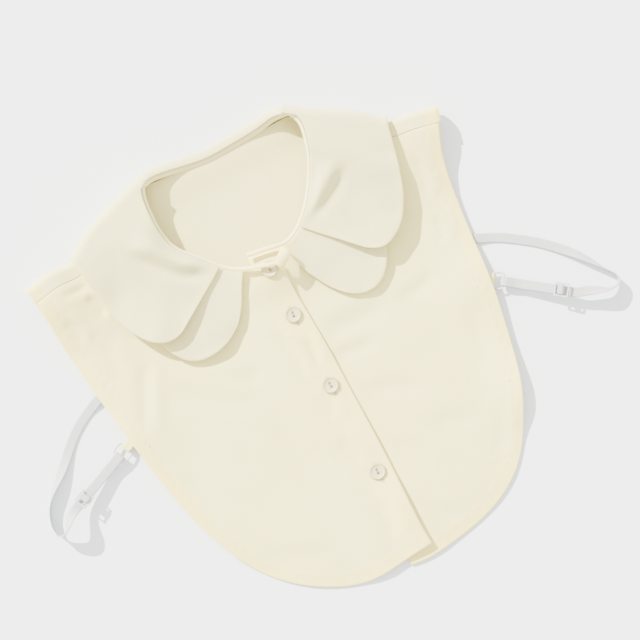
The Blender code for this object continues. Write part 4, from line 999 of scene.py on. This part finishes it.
def make_button(node, x, y, turn):
    """A pearly two-hole button with a rim and a dished middle, sewn on with a bar of thread."""
    name = "pearl_" + node
    half = 0.4 * BUTTON_THICKNESS
    radius = BUTTON_RADIUS
    # Columns: radius, height above the middle.
    outer_side = [(0.0, -half), (radius - 1.2, -half), (radius - 0.35, -0.65), (radius, -0.2)]
    rim = [(radius, 0.2), (radius - 0.2, 0.55), (radius - 0.5, 0.8), (radius - 0.9, half)]
    dished = [(radius - 1.3, 0.74), (radius - 1.6, 0.4), (radius - 2.2, 0.26), (1.6, 0.2)]
    profile = outer_side + rim + dished + [(0.0, 0.2)]
    work = bmesh.new()
    verts = [work.verts.new((r * MM, 0, z * MM)) for r, z in profile]
    edges = [work.edges.new(pair) for pair in zip(verts, verts[1:])]
    bmesh.ops.spin(
        work,
        geom=verts + edges,
        cent=(0, 0, 0),
        axis=(0, 0, 1),
        angle=2 * math.pi,
        steps=48,
        use_merge=True,
    )
    bmesh.ops.remove_doubles(work, verts=work.verts[:], dist=0.01 * MM)
    bmesh.ops.recalc_face_normals(work, faces=work.faces[:])
    button = linked(name, closed_mesh(name, work))
    holes = bmesh.new()
    for offset in (-BUTTON_HOLE_SPACING / 2, BUTTON_HOLE_SPACING / 2):
        made = bmesh.ops.create_cone(
            holes,
            cap_ends=True,
            segments=20,
            radius1=BUTTON_HOLE_RADIUS * MM,
            radius2=BUTTON_HOLE_RADIUS * MM,
            depth=4 * BUTTON_THICKNESS * MM,
        )
        bmesh.ops.translate(holes, verts=made["verts"], vec=(0, offset * MM, 0))
    cutter = linked(name + "_holes", closed_mesh(name + "_holes", holes))
    recess = bmesh.new()
    bmesh.ops.create_uvsphere(recess, u_segments=24, v_segments=12, radius=1.0 * MM)
    bmesh.ops.scale(recess, verts=recess.verts[:], vec=(1.15, 2.5, 0.62))
    bmesh.ops.translate(recess, verts=recess.verts[:], vec=(0, 0, 0.42 * MM))
    dish = linked(name + "_recess", closed_mesh(name + "_recess", recess))
    for tool in (dish, cutter):
        cut = button.modifiers.new("cut", "BOOLEAN")
        cut.operation = "DIFFERENCE"
        cut.object = tool
    evaluated = button.evaluated_get(bpy.context.evaluated_depsgraph_get())
    pierced = bpy.data.meshes.new_from_object(evaluated)
    for used in (cutter, dish, button):
        bpy.data.objects.remove(used, do_unlink=True)
    step = 3.0
    at = np.array([x, x + step, x - step, x, x])
    up = np.array([y, y, y, y + step, y - step])
    heights = over_front_height(at, up)
    slope_x = (heights[1] - heights[2]) / (2 * step)
    slope_y = (heights[3] - heights[4]) / (2 * step)
    clear = CLOTH / 2 + half
    piece = place(name, pierced, MATERIALS["button"], [node], "button", angle=50.0)
    turns = (math.atan(slope_y), -math.atan(slope_x), math.radians(turn))
    put_down(piece, x, y, heights[0] + clear, turns)
    spacing = BUTTON_HOLE_SPACING / 2
    strands = []
    cos_turn, sin_turn = math.cos(math.radians(turn)), math.sin(math.radians(turn))
    for aside in (-0.32, 0.0, 0.32):
        points = []
        for share in np.linspace(-1, 1, 9):
            rise = 0.02 + 0.12 * (1 - share**4) - 1.6 * max(abs(share) - 0.86, 0) / 0.14
            px, py = aside, spacing * share
            at_x, at_y = px * cos_turn - py * sin_turn, px * sin_turn + py * cos_turn
            height = heights[0] + clear + rise + slope_x * px + slope_y * py
            points.append((x + at_x, y + at_y, height))
        strands.append(points)
    # The thread's dark colour is painted shade, for the shaded slit between the holes.
    tubes("thread_" + node, strands, 0.2, 7, MATERIALS["thread_painted_shade"], "button", taper=False)


def raised_path(points, rises, height):
    """Plan points, each lifted off the front by its rise."""
    heights = [height(*point, FAR_FROM_EDGE) for point in points]
    return [(*point, z + rise) for point, z, rise in zip(points, heights, rises)]


def make_buttonhole(name, x, y):
    """A worked buttonhole along the placket: two rows of close stitches, under a button."""
    way = np.array([0.04, -1.0]) / math.hypot(0.04, 1.0)
    aside = np.array([-way[1], way[0]])
    paths = []
    for side in (-1, 1):
        for run in np.arange(*BUTTONHOLE_RUN, BUTTONHOLE_PITCH):
            middle = np.array([x, y]) + way * run
            ends = [middle + aside * side * reach for reach in (0.12, 0.55, 1.0)]
            paths.append(raised_path(ends, (0.36, 0.52, 0.40), left_front_z))
    # The stitches' dark thread colour is painted shade.
    return tubes(name, paths, 0.2, 5, MATERIALS["thread_painted_shade"], "cloth")


def make_tacks(name, height, spots):
    """Short hand stitches that show on the right side. Spots: x, y and the stitch's heading."""
    paths = []
    for x, y, heading in spots:
        way = np.array([math.cos(math.radians(heading)), math.sin(math.radians(heading))])
        points = [np.array([x, y]) + way * run for run in (-0.9, -0.4, 0.4, 0.9)]
        paths.append(raised_path(points, (0.30, 0.52, 0.52, 0.30), height))
    # The stitches' dark thread colour is painted shade.
    return tubes(name, paths, 0.24, 6, MATERIALS["thread_painted_shade"], "cloth")


def make_elastic(word, rows):
    """A woven elastic along its route, twisted where it stands on its edge."""
    route = along(natural_spline(rows), np.linspace(0, 1, 240))
    way = headings(route[:, :3])
    level = unit(np.cross(way, (0.0, 0.0, 1.0)))
    up = np.cross(level, way)
    tilt = np.radians(route[:, 3])[:, None]
    across = level * np.cos(tilt) + up * np.sin(tilt)
    half = ELASTIC_WIDTH / 2
    route[:, 2] += half * np.abs(np.sin(tilt[:, 0])) + CLOTH / 2 * np.abs(np.cos(tilt[:, 0]))
    places = np.linspace(-half, half, ELASTIC_ROWS)
    middle = np.stack([route[:, :3] + across * at for at in places], axis=1)
    ribbed("strap_" + word, "elastic_" + word, middle)


def ribbed(name, node, middle):
    """A shell of elastic whose thickness swells and thins in ribs along it."""
    ribs = (ELASTIC_HALF + ELASTIC_RIB * np.cos(math.pi * np.arange(ELASTIC_ROWS)))[None, :]
    shell(name, node, middle, ribs, ribs, MATERIALS["elastic"], slot="elastic")


def make_ring(name, node, x, y, heading, z):
    """An oval moulded ring, its long side across the elastic."""
    around, section = 96, 14
    angles = 2 * math.pi * np.arange(around) / around
    along_x = np.sign(np.cos(angles)) * np.abs(np.cos(angles)) ** 0.45
    along_y = np.sign(np.sin(angles)) * np.abs(np.sin(angles)) ** 0.45
    centres = np.column_stack([RING_HALF_LENGTH * along_x, RING_HALF_WIDTH * along_y])
    centres = respaced(np.concatenate([centres, centres[:1]]), around + 1)[:-1]
    ways = unit(np.roll(centres, -1, axis=0) - np.roll(centres, 1, axis=0))
    outward = np.column_stack([ways[:, 1], -ways[:, 0]])
    turn = 2 * math.pi * np.arange(section) / section
    flat = centres[:, None, :] + outward[:, None, :] * RING_WIRE * np.cos(turn)[None, :, None]
    height = np.broadcast_to(RING_WIRE * np.sin(turn), (around, section))
    points = np.dstack([flat, height]).reshape(-1, 3)
    faces = []
    for i in range(around):
        here, after = i * section, (i + 1) % around * section
        for k in range(section):
            beside = (k + 1) % section
            faces.append((here + k, after + k, after + beside, here + beside))
    mesh = new_mesh(name, points, faces, shift=(0, 0, 0))
    piece = place(name, mesh, MATERIALS["plastic"], [node], "ring")
    put_down(piece, x, y, z, (0, math.atan(STRAP_RISE), math.radians(heading)))


def make_slider(name, node, x, y, heading, z):
    """A moulded slider: two rails and three bars, with softened edges."""
    xs = (-5.0, -4.0, -0.6, 0.6, 4.0, 5.0)
    ys = (-4.9, -3.7, 3.7, 4.9)
    work = bmesh.new()
    points = {}
    for i, px in enumerate(xs):
        for j, py in enumerate(ys):
            points[i, j] = work.verts.new((px * MM, py * MM, -SLIDER_BAR / 2 * MM))
    for i in range(5):
        for j in range(3):
            if (i, j) not in {(1, 1), (3, 1)}:
                corners = [points[i + a, j + b] for a, b in ((0, 0), (1, 0), (1, 1), (0, 1))]
                work.faces.new(corners)
    grown = bmesh.ops.extrude_face_region(work, geom=work.faces[:])
    top = [part for part in grown["geom"] if isinstance(part, bmesh.types.BMVert)]
    bmesh.ops.translate(work, verts=top, vec=(0, 0, SLIDER_BAR * MM))
    bmesh.ops.recalc_face_normals(work, faces=work.faces[:])
    edges = [edge for edge in work.edges if edge.calc_face_angle(0.0) > 0.6]
    bmesh.ops.bevel(work, geom=edges, offset=0.26 * MM, segments=4, profile=0.5, affect="EDGES")
    mesh = closed_mesh(name, work)
    piece = place(name, mesh, MATERIALS["plastic"], [node], "slider", angle=40.0)
    put_down(piece, x, y, z, (0, math.atan(STRAP_RISE), math.radians(heading)))


def half_turn(centre, radius, start, end, steps=16):
    """Profile points round a bar, from one angle to another in degrees."""
    angles = np.radians(np.linspace(start, end, steps + 1))
    return [(centre[0] + radius * math.cos(a), centre[1] + radius * math.sin(a)) for a in angles]


def strip_grid(profile, x, y, heading, cols, samples):
    """The middle grid of an elastic along a profile of (distance along its heading, height)."""
    turn = math.radians(heading)
    run_out, height = respaced(profile, samples).T
    middle = np.zeros((samples, cols, 3))
    for j, offset in enumerate(np.linspace(-ELASTIC_WIDTH / 2, ELASTIC_WIDTH / 2, cols)):
        middle[:, j, 0] = x + run_out * math.cos(turn) - offset * math.sin(turn)
        middle[:, j, 1] = y + run_out * math.sin(turn) + offset * math.cos(turn)
        middle[:, j, 2] = height
    return middle


def raised(run, height, pivot):
    """A point of the level strap after the strap is tipped up about the panel's edge."""
    back = pivot - run
    if back <= 0:
        return run, height
    turn = math.atan(STRAP_RISE)
    out = pivot - back * math.cos(turn) + height * math.sin(turn)
    return out, height * math.cos(turn) + back * math.sin(turn)


def make_fittings(side, ring_x, ring_y, slider_x, slider_y):
    """The ring, its tab, the slider, and the elastic's end, which runs from ring to slider."""
    heading = math.degrees(math.atan2(ring_y - slider_y, ring_x - slider_x))
    apart = math.hypot(ring_x - slider_x, ring_y - slider_y)
    inner_bar = apart + RING_HALF_LENGTH
    pivot = inner_bar + STRAP_RISE_START
    way = np.array([ring_x - slider_x, ring_y - slider_y]) / apart
    run, ring_z = raised(apart, RING_HEIGHT, pivot)
    ring_at = (slider_x + run * way[0], slider_y + run * way[1])
    make_ring("loop_ring_" + side, "ring_" + side, *ring_at, heading, ring_z)
    run, slider_z = raised(0.0, SLIDER_HEIGHT, pivot)
    slider_at = (slider_x + run * way[0], slider_y + run * way[1])
    make_slider("strap_slider_" + side, "slider_" + side, *slider_at, heading, slider_z)
    round_bar = RING_WIRE + GAP + CLOTH / 2
    low, high = RING_HEIGHT - round_bar, RING_HEIGHT + round_bar
    bar = apart - RING_HALF_LENGTH
    lying = PLY + CLOTH / 2 + 0.1
    profile = [(bar - 3.0, low), (bar - 1.0, low)]
    profile += half_turn((bar, RING_HEIGHT), round_bar, -90, 90)
    profile += [(bar - 2.0, high), (bar - 8.0, lying + 0.6), (bar - 12.0, lying), (6.0, lying)]
    round_slider = SLIDER_HEIGHT - lying
    profile += half_turn((0.0, SLIDER_HEIGHT), round_slider, -90, -270)
    profile += [(2.6, SLIDER_HEIGHT + round_slider)]
    profile = [raised(*point, pivot) for point in profile]
    middle = strip_grid(profile, slider_x, slider_y, heading, ELASTIC_ROWS, 200)
    ribbed("strap_end_" + side, "elastic_end_" + side, middle)
    tab = [(inner_bar + TAB_LENGTH, lying), (inner_bar + 3.0, lying)]
    tab += half_turn((inner_bar, RING_HEIGHT), round_bar, 270, 90)
    tab += [(inner_bar + 3.0, high - 0.3), (inner_bar + TAB_LENGTH, lying + PLY + 0.1)]
    tab = [raised(*point, pivot) for point in tab]
    middle = strip_grid(tab, slider_x, slider_y, heading, 9, 110)
    edge = np.abs(np.linspace(-1, 1, 9))[None, :]
    shell(
        "tab_" + side, "ring_tab_" + side, middle, TAB_HALF + 0.06 * (edge > 0.8), TAB_HALF,
        MATERIALS["cloth"], tint=0.8, slot="tab_cloth",
    )


def new_material(name, colour, roughness):
    """A material with its node tree and its Principled shader."""
    material = bpy.data.materials.new(name)
    material.use_nodes = True
    tree = material.node_tree
    shader = tree.nodes["Principled BSDF"]
    set_sockets(shader, Base_Color=(*colour, 1.0), Roughness=roughness)
    return material, tree, shader


def set_sockets(node, **values):
    """Sets a node's sockets by name, with an underscore for each space."""
    for key, value in values.items():
        node.inputs[key.replace("_", " ")].default_value = value
    return node


def add(tree, kind, **values):
    """A new node with its sockets set."""
    return set_sockets(tree.nodes.new(kind), **values)


def feed(tree, socket, value):
    """Gives a socket a value, or links it to another socket."""
    if isinstance(value, bpy.types.NodeSocket):
        tree.links.new(value, socket)
    else:
        socket.default_value = value


def mix_colour(tree, factor, first, second, blend="MIX"):
    """A colour mix. Each of the three is a socket or a value."""
    node = tree.nodes.new("ShaderNodeMix")
    node.data_type = "RGBA"
    node.blend_type = blend
    for socket, value in ((0, factor), (6, first), (7, second)):
        feed(tree, node.inputs[socket], value)
    return node.outputs[2]


def mapped(tree, socket, low, high, to_low, to_high):
    """A socket's values moved from one range to another."""
    node = add(tree, "ShaderNodeMapRange", From_Min=low, From_Max=high)
    set_sockets(node, To_Min=to_low, To_Max=to_high)
    tree.links.new(socket, node.inputs["Value"])
    return node.outputs["Result"]


def maths(tree, operation, first, second):
    """A sum, product or the like of two sockets or values."""
    node = tree.nodes.new("ShaderNodeMath")
    node.operation = operation
    feed(tree, node.inputs[0], first)
    feed(tree, node.inputs[1], second)
    return node.outputs[0]


def noise(tree, vector, scale, detail=2.0, roughness=0.5):
    """Soft noise over a vector socket."""
    node = add(tree, "ShaderNodeTexNoise", Scale=scale, Detail=detail, Roughness=roughness)
    tree.links.new(vector, node.inputs["Vector"])
    return node.outputs["Factor"] if "Factor" in node.outputs else node.outputs["Fac"]


def cloth_uv(tree):
    """The cloth's own coordinates."""
    uv = tree.nodes.new("ShaderNodeUVMap")
    uv.uv_map = "Cloth"
    return uv.outputs["UV"]


def wave(tree, vector, pitch, direction):
    """Even bands across one way of the cloth, a pitch in metres apart."""
    scale = 2 * math.pi / (20 * pitch)
    node = add(tree, "ShaderNodeTexWave", Scale=scale, Distortion=0.4, Detail=1.0)
    node.bands_direction = direction
    tree.links.new(vector, node.inputs["Vector"])
    return node.outputs["Fac"]


def woven_material(name, colour, pitch=0.00042, sheen=0.25):
    """Fine plain-weave crepe: threads both ways, a soft grain, a deeper tone where doubled."""
    material, tree, shader = new_material(name, colour, 0.82)
    cloth = cloth_uv(tree)
    place_at = tree.nodes.new("ShaderNodeTexCoord").outputs["Object"]
    warp = wave(tree, cloth, pitch, "X")
    weft = wave(tree, cloth, pitch, "Y")
    threads = maths(tree, "MULTIPLY", warp, weft)
    grain = noise(tree, place_at, 1500.0, 3.0, 0.6)
    slub = noise(tree, cloth, 260.0, 2.0)
    cloud = noise(tree, place_at, 22.0, 2.0)
    tint = tree.nodes.new("ShaderNodeAttribute")
    tint.attribute_name = "tint"
    tone = mix_colour(tree, tint.outputs["Fac"], (*colour, 1), (*CREAM_DOUBLED, 1))
    pale = tuple(min(1.0, 1.045 * c) for c in colour)
    tone = mix_colour(tree, mapped(tree, cloud, 0.3, 0.7, 0.0, 0.45), tone, (*pale, 1))
    warm = (colour[0], 0.975 * colour[1], 0.94 * colour[2], 1)
    patches = noise(tree, place_at, 9.0, 1.0)
    tone = mix_colour(tree, mapped(tree, patches, 0.4, 0.65, 0.0, 0.7), tone, warm)
    shade = mapped(tree, maths(tree, "ADD", threads, slub), 0.2, 1.4, 0.955, 1.015)
    tone = mix_colour(tree, 1.0, tone, grey(tree, shade), "MULTIPLY")
    tree.links.new(tone, shader.inputs["Base Color"])
    rough = mapped(tree, maths(tree, "ADD", grain, threads), 0.2, 1.5, 0.9, 0.72)
    tree.links.new(rough, shader.inputs["Roughness"])
    height = maths(tree, "ADD", threads, maths(tree, "MULTIPLY", grain, 0.9))
    roughen(tree, shader, height, 0.28, 0.00012)
    set_sockets(shader, Sheen_Weight=sheen, Sheen_Roughness=0.5, Subsurface_Weight=0.25)
    set_sockets(shader, Subsurface_Radius=(1.0, 0.82, 0.5), Subsurface_Scale=0.002)
    return material


def roughen(tree, shader, height, strength, distance):
    """Gives the shader a bump from a height socket."""
    bump = add(tree, "ShaderNodeBump", Strength=strength, Distance=distance)
    tree.links.new(height, bump.inputs["Height"])
    tree.links.new(bump.outputs["Normal"], shader.inputs["Normal"])


def grey(tree, value):
    """A socket's value as a grey colour."""
    node = tree.nodes.new("ShaderNodeCombineColor")
    for socket in node.inputs[:3]:
        tree.links.new(value, socket)
    return node.outputs["Color"]


def elastic_material():
    """White woven elastic: ribs along it, crossed by fine picks."""
    material, tree, shader = new_material("white_elastic", ELASTIC_WHITE, 0.7)
    cloth = cloth_uv(tree)
    ribs = wave(tree, cloth, 0.001, "Y")
    picks = wave(tree, cloth, 0.0006, "X")
    flecks = maths(tree, "MULTIPLY", picks, noise(tree, cloth, 300.0))
    shade = mapped(tree, maths(tree, "ADD", ribs, flecks), 0.0, 1.8, 0.86, 1.0)
    tone = mix_colour(tree, 1.0, (*ELASTIC_WHITE, 1), grey(tree, shade), "MULTIPLY")
    tree.links.new(tone, shader.inputs["Base Color"])
    roughen(tree, shader, maths(tree, "ADD", ribs, picks), 0.25, 0.0002)
    set_sockets(shader, Sheen_Weight=0.15, Subsurface_Weight=0.15, Subsurface_Scale=0.001)
    return material


def plain_material(
    name, colour, second, scale, roughness, bump, coat=0.0, subsurface=0.0, rim=None, gloss=0.5
):
    """Moulded plastic or thread: two near tones in soft clouds, with a faint uneven surface.

    A rim gives the radius in metres from which a round piece is darker: a ring of painted shade
    round its edge.
    """
    material, tree, shader = new_material(name, colour, roughness)
    place_at = tree.nodes.new("ShaderNodeTexCoord").outputs["Object"]
    cloud = noise(tree, place_at, scale, 3.0)
    fine = noise(tree, place_at, scale * 6, 2.0)
    tone = mix_colour(tree, mapped(tree, cloud, 0.35, 0.65, 0.0, 1.0), (*colour, 1), (*second, 1))
    # Painted shade: beyond the rim's radius the colour turns to the dark rim tone.
    if rim:
        flat = tree.nodes.new("ShaderNodeVectorMath")
        flat.operation = "MULTIPLY"
        flat.inputs[1].default_value = (1.0, 1.0, 0.0)
        tree.links.new(place_at, flat.inputs[0])
        length = tree.nodes.new("ShaderNodeVectorMath")
        length.operation = "LENGTH"
        tree.links.new(flat.outputs["Vector"], length.inputs[0])
        outside = mapped(tree, length.outputs["Value"], rim - 0.0004, rim + 0.0004, 0.0, 1.0)
        tone = mix_colour(tree, outside, tone, (*RIM_PAINTED_SHADE, 1))
    tree.links.new(tone, shader.inputs["Base Color"])
    rough = mapped(tree, fine, 0.3, 0.7, roughness * 0.8, min(1.0, roughness * 1.3))
    tree.links.new(rough, shader.inputs["Roughness"])
    roughen(tree, shader, fine, bump, 0.0001)
    set_sockets(shader, Coat_Weight=coat, Coat_Roughness=0.08, Specular_IOR_Level=gloss)
    set_sockets(shader, Subsurface_Weight=subsurface, Subsurface_Scale=0.0015)
    return material


CREAM = (0.88, 0.788, 0.32)
CREAM_DOUBLED = (0.85, 0.73, 0.22)
COLLAR_CREAM = (0.71, 0.665, 0.32)
# The back panel is the same crepe as the fronts, coloured darker as painted shade where it is seen
# down the neck opening.
BACK_CREAM_PAINTED_SHADE = (0.79, 0.71, 0.31)
BINDING_CREAM = (0.84, 0.76, 0.38)
THREADS = ((0.86, 0.8, 0.62), (0.82, 0.74, 0.54))
# Thread darkened with painted shade: its dark colour stands in for the shade in a button's slit and
# among close stitches.
SHADE_PAINTED_THREADS = ((0.40, 0.33, 0.19), (0.32, 0.26, 0.15))
PEARL = ((0.64, 0.58, 0.32), (0.58, 0.52, 0.28))
PLASTIC = ((0.54, 0.55, 0.56), (0.49, 0.50, 0.52))
ELASTIC_WHITE = (0.48, 0.492, 0.508)
# Painted shade for the dark ring round a button's edge.
RIM_PAINTED_SHADE = (0.48, 0.42, 0.21)
MATERIALS = {
    "cloth": woven_material("cream_crepe", CREAM),
    # The back's cloth carries painted shade in its colour.
    "back": woven_material("back_crepe_painted_shade", BACK_CREAM_PAINTED_SHADE),
    "collar": woven_material("collar_crepe", COLLAR_CREAM),
    "binding": woven_material("binding_crepe", BINDING_CREAM, 0.00038, 0.3),
    "thread": plain_material("cream_thread", *THREADS, 1500.0, 0.6, 0.3),
    # Thread with painted shade in its colour, for button threads, buttonholes and tacks.
    "thread_painted_shade": plain_material("painted_shade_thread", *SHADE_PAINTED_THREADS, 1500.0, 0.7, 0.3),
    # The button's edge gets a ring of painted shade.
    "button": plain_material(
        "pearl_button", *PEARL, 260.0, 0.35, 0.05, coat=0.05, rim=0.005, gloss=0.2
    ),
    "elastic": elastic_material(),
    "plastic": plain_material(
        "clear_white_plastic", *PLASTIC, 300.0, 0.3, 0.06, coat=0.25, subsurface=0.2
    ),
}

SHEETS = {}
SHEETS["back"] = make_back_panel()
SHEETS["left"], stitches_left = make_front(
    "left", CURVE_NECK_LEFT, OUTER_LEFT, PLACKET_LEFT, -1, left_front_z
)
SHEETS["right"], stitches_right = make_front(
    "right", CURVE_NECK_RIGHT, OUTER_RIGHT, PLACKET_RIGHT, 1, right_front_z
)
binding_left, binding_left_thread = make_binding("left", binding_top(-1), -1, DROPS_LEFT)
binding_right, binding_right_thread = make_binding("right", binding_top(1), 1, DROPS_RIGHT)
binding_back, binding_back_thread = make_binding(
    "back", respaced(CURVE_NECK_BACK[1:-1], 240), -1, DROPS_BACK, -0.25, 3.0
)
SHEETS["lower_left"] = make_lower_petal("left", -1, LOWER_LEFT_FRONT, LOWER_LEFT_EDGE, 7.4, 4.0)
SHEETS["lower_right"] = make_lower_petal("right", 1, LOWER_RIGHT_FRONT, LOWER_RIGHT_EDGE, 6.4, 8.4)
SHEETS["upper_left"] = make_upper_petal(
    "left", -1, UPPER_LEFT_FRONT, UPPER_LEFT_EDGE, 13.5, -4.0, VALLEY_LEFT
)
SHEETS["upper_right"] = make_upper_petal(
    "right", 1, UPPER_RIGHT_FRONT, UPPER_RIGHT_EDGE, 12.6, 2.0, VALLEY_RIGHT
)
SHEETS["collar_back"] = make_back_collar()
placket_corner = make_placket_corner()
for button, turn in zip(BUTTONS, BUTTON_TURNS):
    make_button(*button, turn)
buttonholes = [make_buttonhole("buttonhole_" + node, x, y) for node, x, y in BUTTONS[1:]]
tacks_left = make_tacks("tacks_left", left_front_z, TACKS_LEFT)
tacks_right = make_tacks("tacks_right", right_front_z, TACKS_RIGHT)
make_elastic("left", ELASTIC_LEFT)
make_elastic("right", ELASTIC_RIGHT)
for fitting in ELASTIC_FITTINGS:
    make_fittings(*fitting)


def make_floor():
    """A plain pale floor of fine plaster."""
    mesh = bpy.data.meshes.new("floor")
    signs = ((-1, -1), (1, -1), (1, 1), (-1, 1))
    corners = [(FLOOR_SIDE * a, FLOOR_SIDE * b, FLOOR_HEIGHT) for a, b in signs]
    mesh.from_pydata(corners, [], [(0, 1, 2, 3)])
    floor = linked("floor", mesh)
    material, tree, shader = new_material("pale_plaster", FLOOR_TONES[0], 0.7)
    place_at = tree.nodes.new("ShaderNodeTexCoord").outputs["Object"]
    cloud = noise(tree, place_at, 9.0, 3.0)
    tone = mix_colour(tree, cloud, (*FLOOR_TONES[0], 1), (*FLOOR_TONES[1], 1))
    tree.links.new(tone, shader.inputs["Base Color"])
    mesh.materials.append(material)


def make_light():
    """A low sun from the upper left and a bright even sky."""
    sun_data = bpy.data.lights.new("sun", "SUN")
    sun_data.energy = SUN_STRENGTH
    sun_data.angle = math.radians(SUN_WIDTH)
    sun_data.color = SUN_COLOUR
    sun = linked("sun", sun_data)
    low = math.radians(SUN_ELEVATION)
    way = (SUN_WAY[0] * math.cos(low), SUN_WAY[1] * math.cos(low), -math.sin(low))
    sun.rotation_mode = "QUATERNION"
    sun.rotation_quaternion = Vector(way).to_track_quat("-Z", "Y")
    world = bpy.data.worlds.new("sky")
    bpy.context.scene.world = world
    world.use_nodes = True
    background = world.node_tree.nodes["Background"]
    set_sockets(background, Color=(*SKY_COLOUR, 1.0), Strength=SKY_STRENGTH)


def make_camera():
    """The photograph's view: nearly straight down, the garment turned 27.5 degrees in the frame."""
    turn, elevation = math.radians(CAMERA_TURN), math.radians(CAMERA_ELEVATION)
    flat = Vector((math.sin(turn), math.cos(turn), 0.0))
    way = flat * math.cos(elevation) - Vector((0, 0, math.sin(elevation)))
    camera = bpy.data.cameras.new("camera")
    camera.lens = CAMERA_LENS
    made = linked("camera", camera)
    made.location = Vector((*CAMERA_AIM, 0.0)) - way * CAMERA_DISTANCE
    up = flat * math.sin(elevation) + Vector((0, 0, math.cos(elevation)))
    right = way.cross(up)
    made.rotation_mode = "QUATERNION"
    made.rotation_quaternion = Matrix((right, up, -way)).transposed().to_quaternion()
    bpy.context.scene.camera = made


FLOOR_SIDE = 4.0
FLOOR_HEIGHT = -0.0003
FLOOR_TONES = ((0.76, 0.796, 0.862), (0.78, 0.816, 0.88))
SUN_ELEVATION = 32.0
SUN_WAY = (0.399, -0.917)
SUN_STRENGTH = 20.0
SUN_WIDTH = 0.9
SUN_COLOUR = (1.0, 0.955, 0.86)
SKY_STRENGTH = 3.0
SKY_COLOUR = (1.0, 0.97, 0.90)
CAMERA_ELEVATION = 84.0
CAMERA_TURN = 27.54
CAMERA_LENS = 113.0
CAMERA_AIM = (0.0155, 0.0157)
CAMERA_DISTANCE = 1.375

make_floor()
make_light()
make_camera()
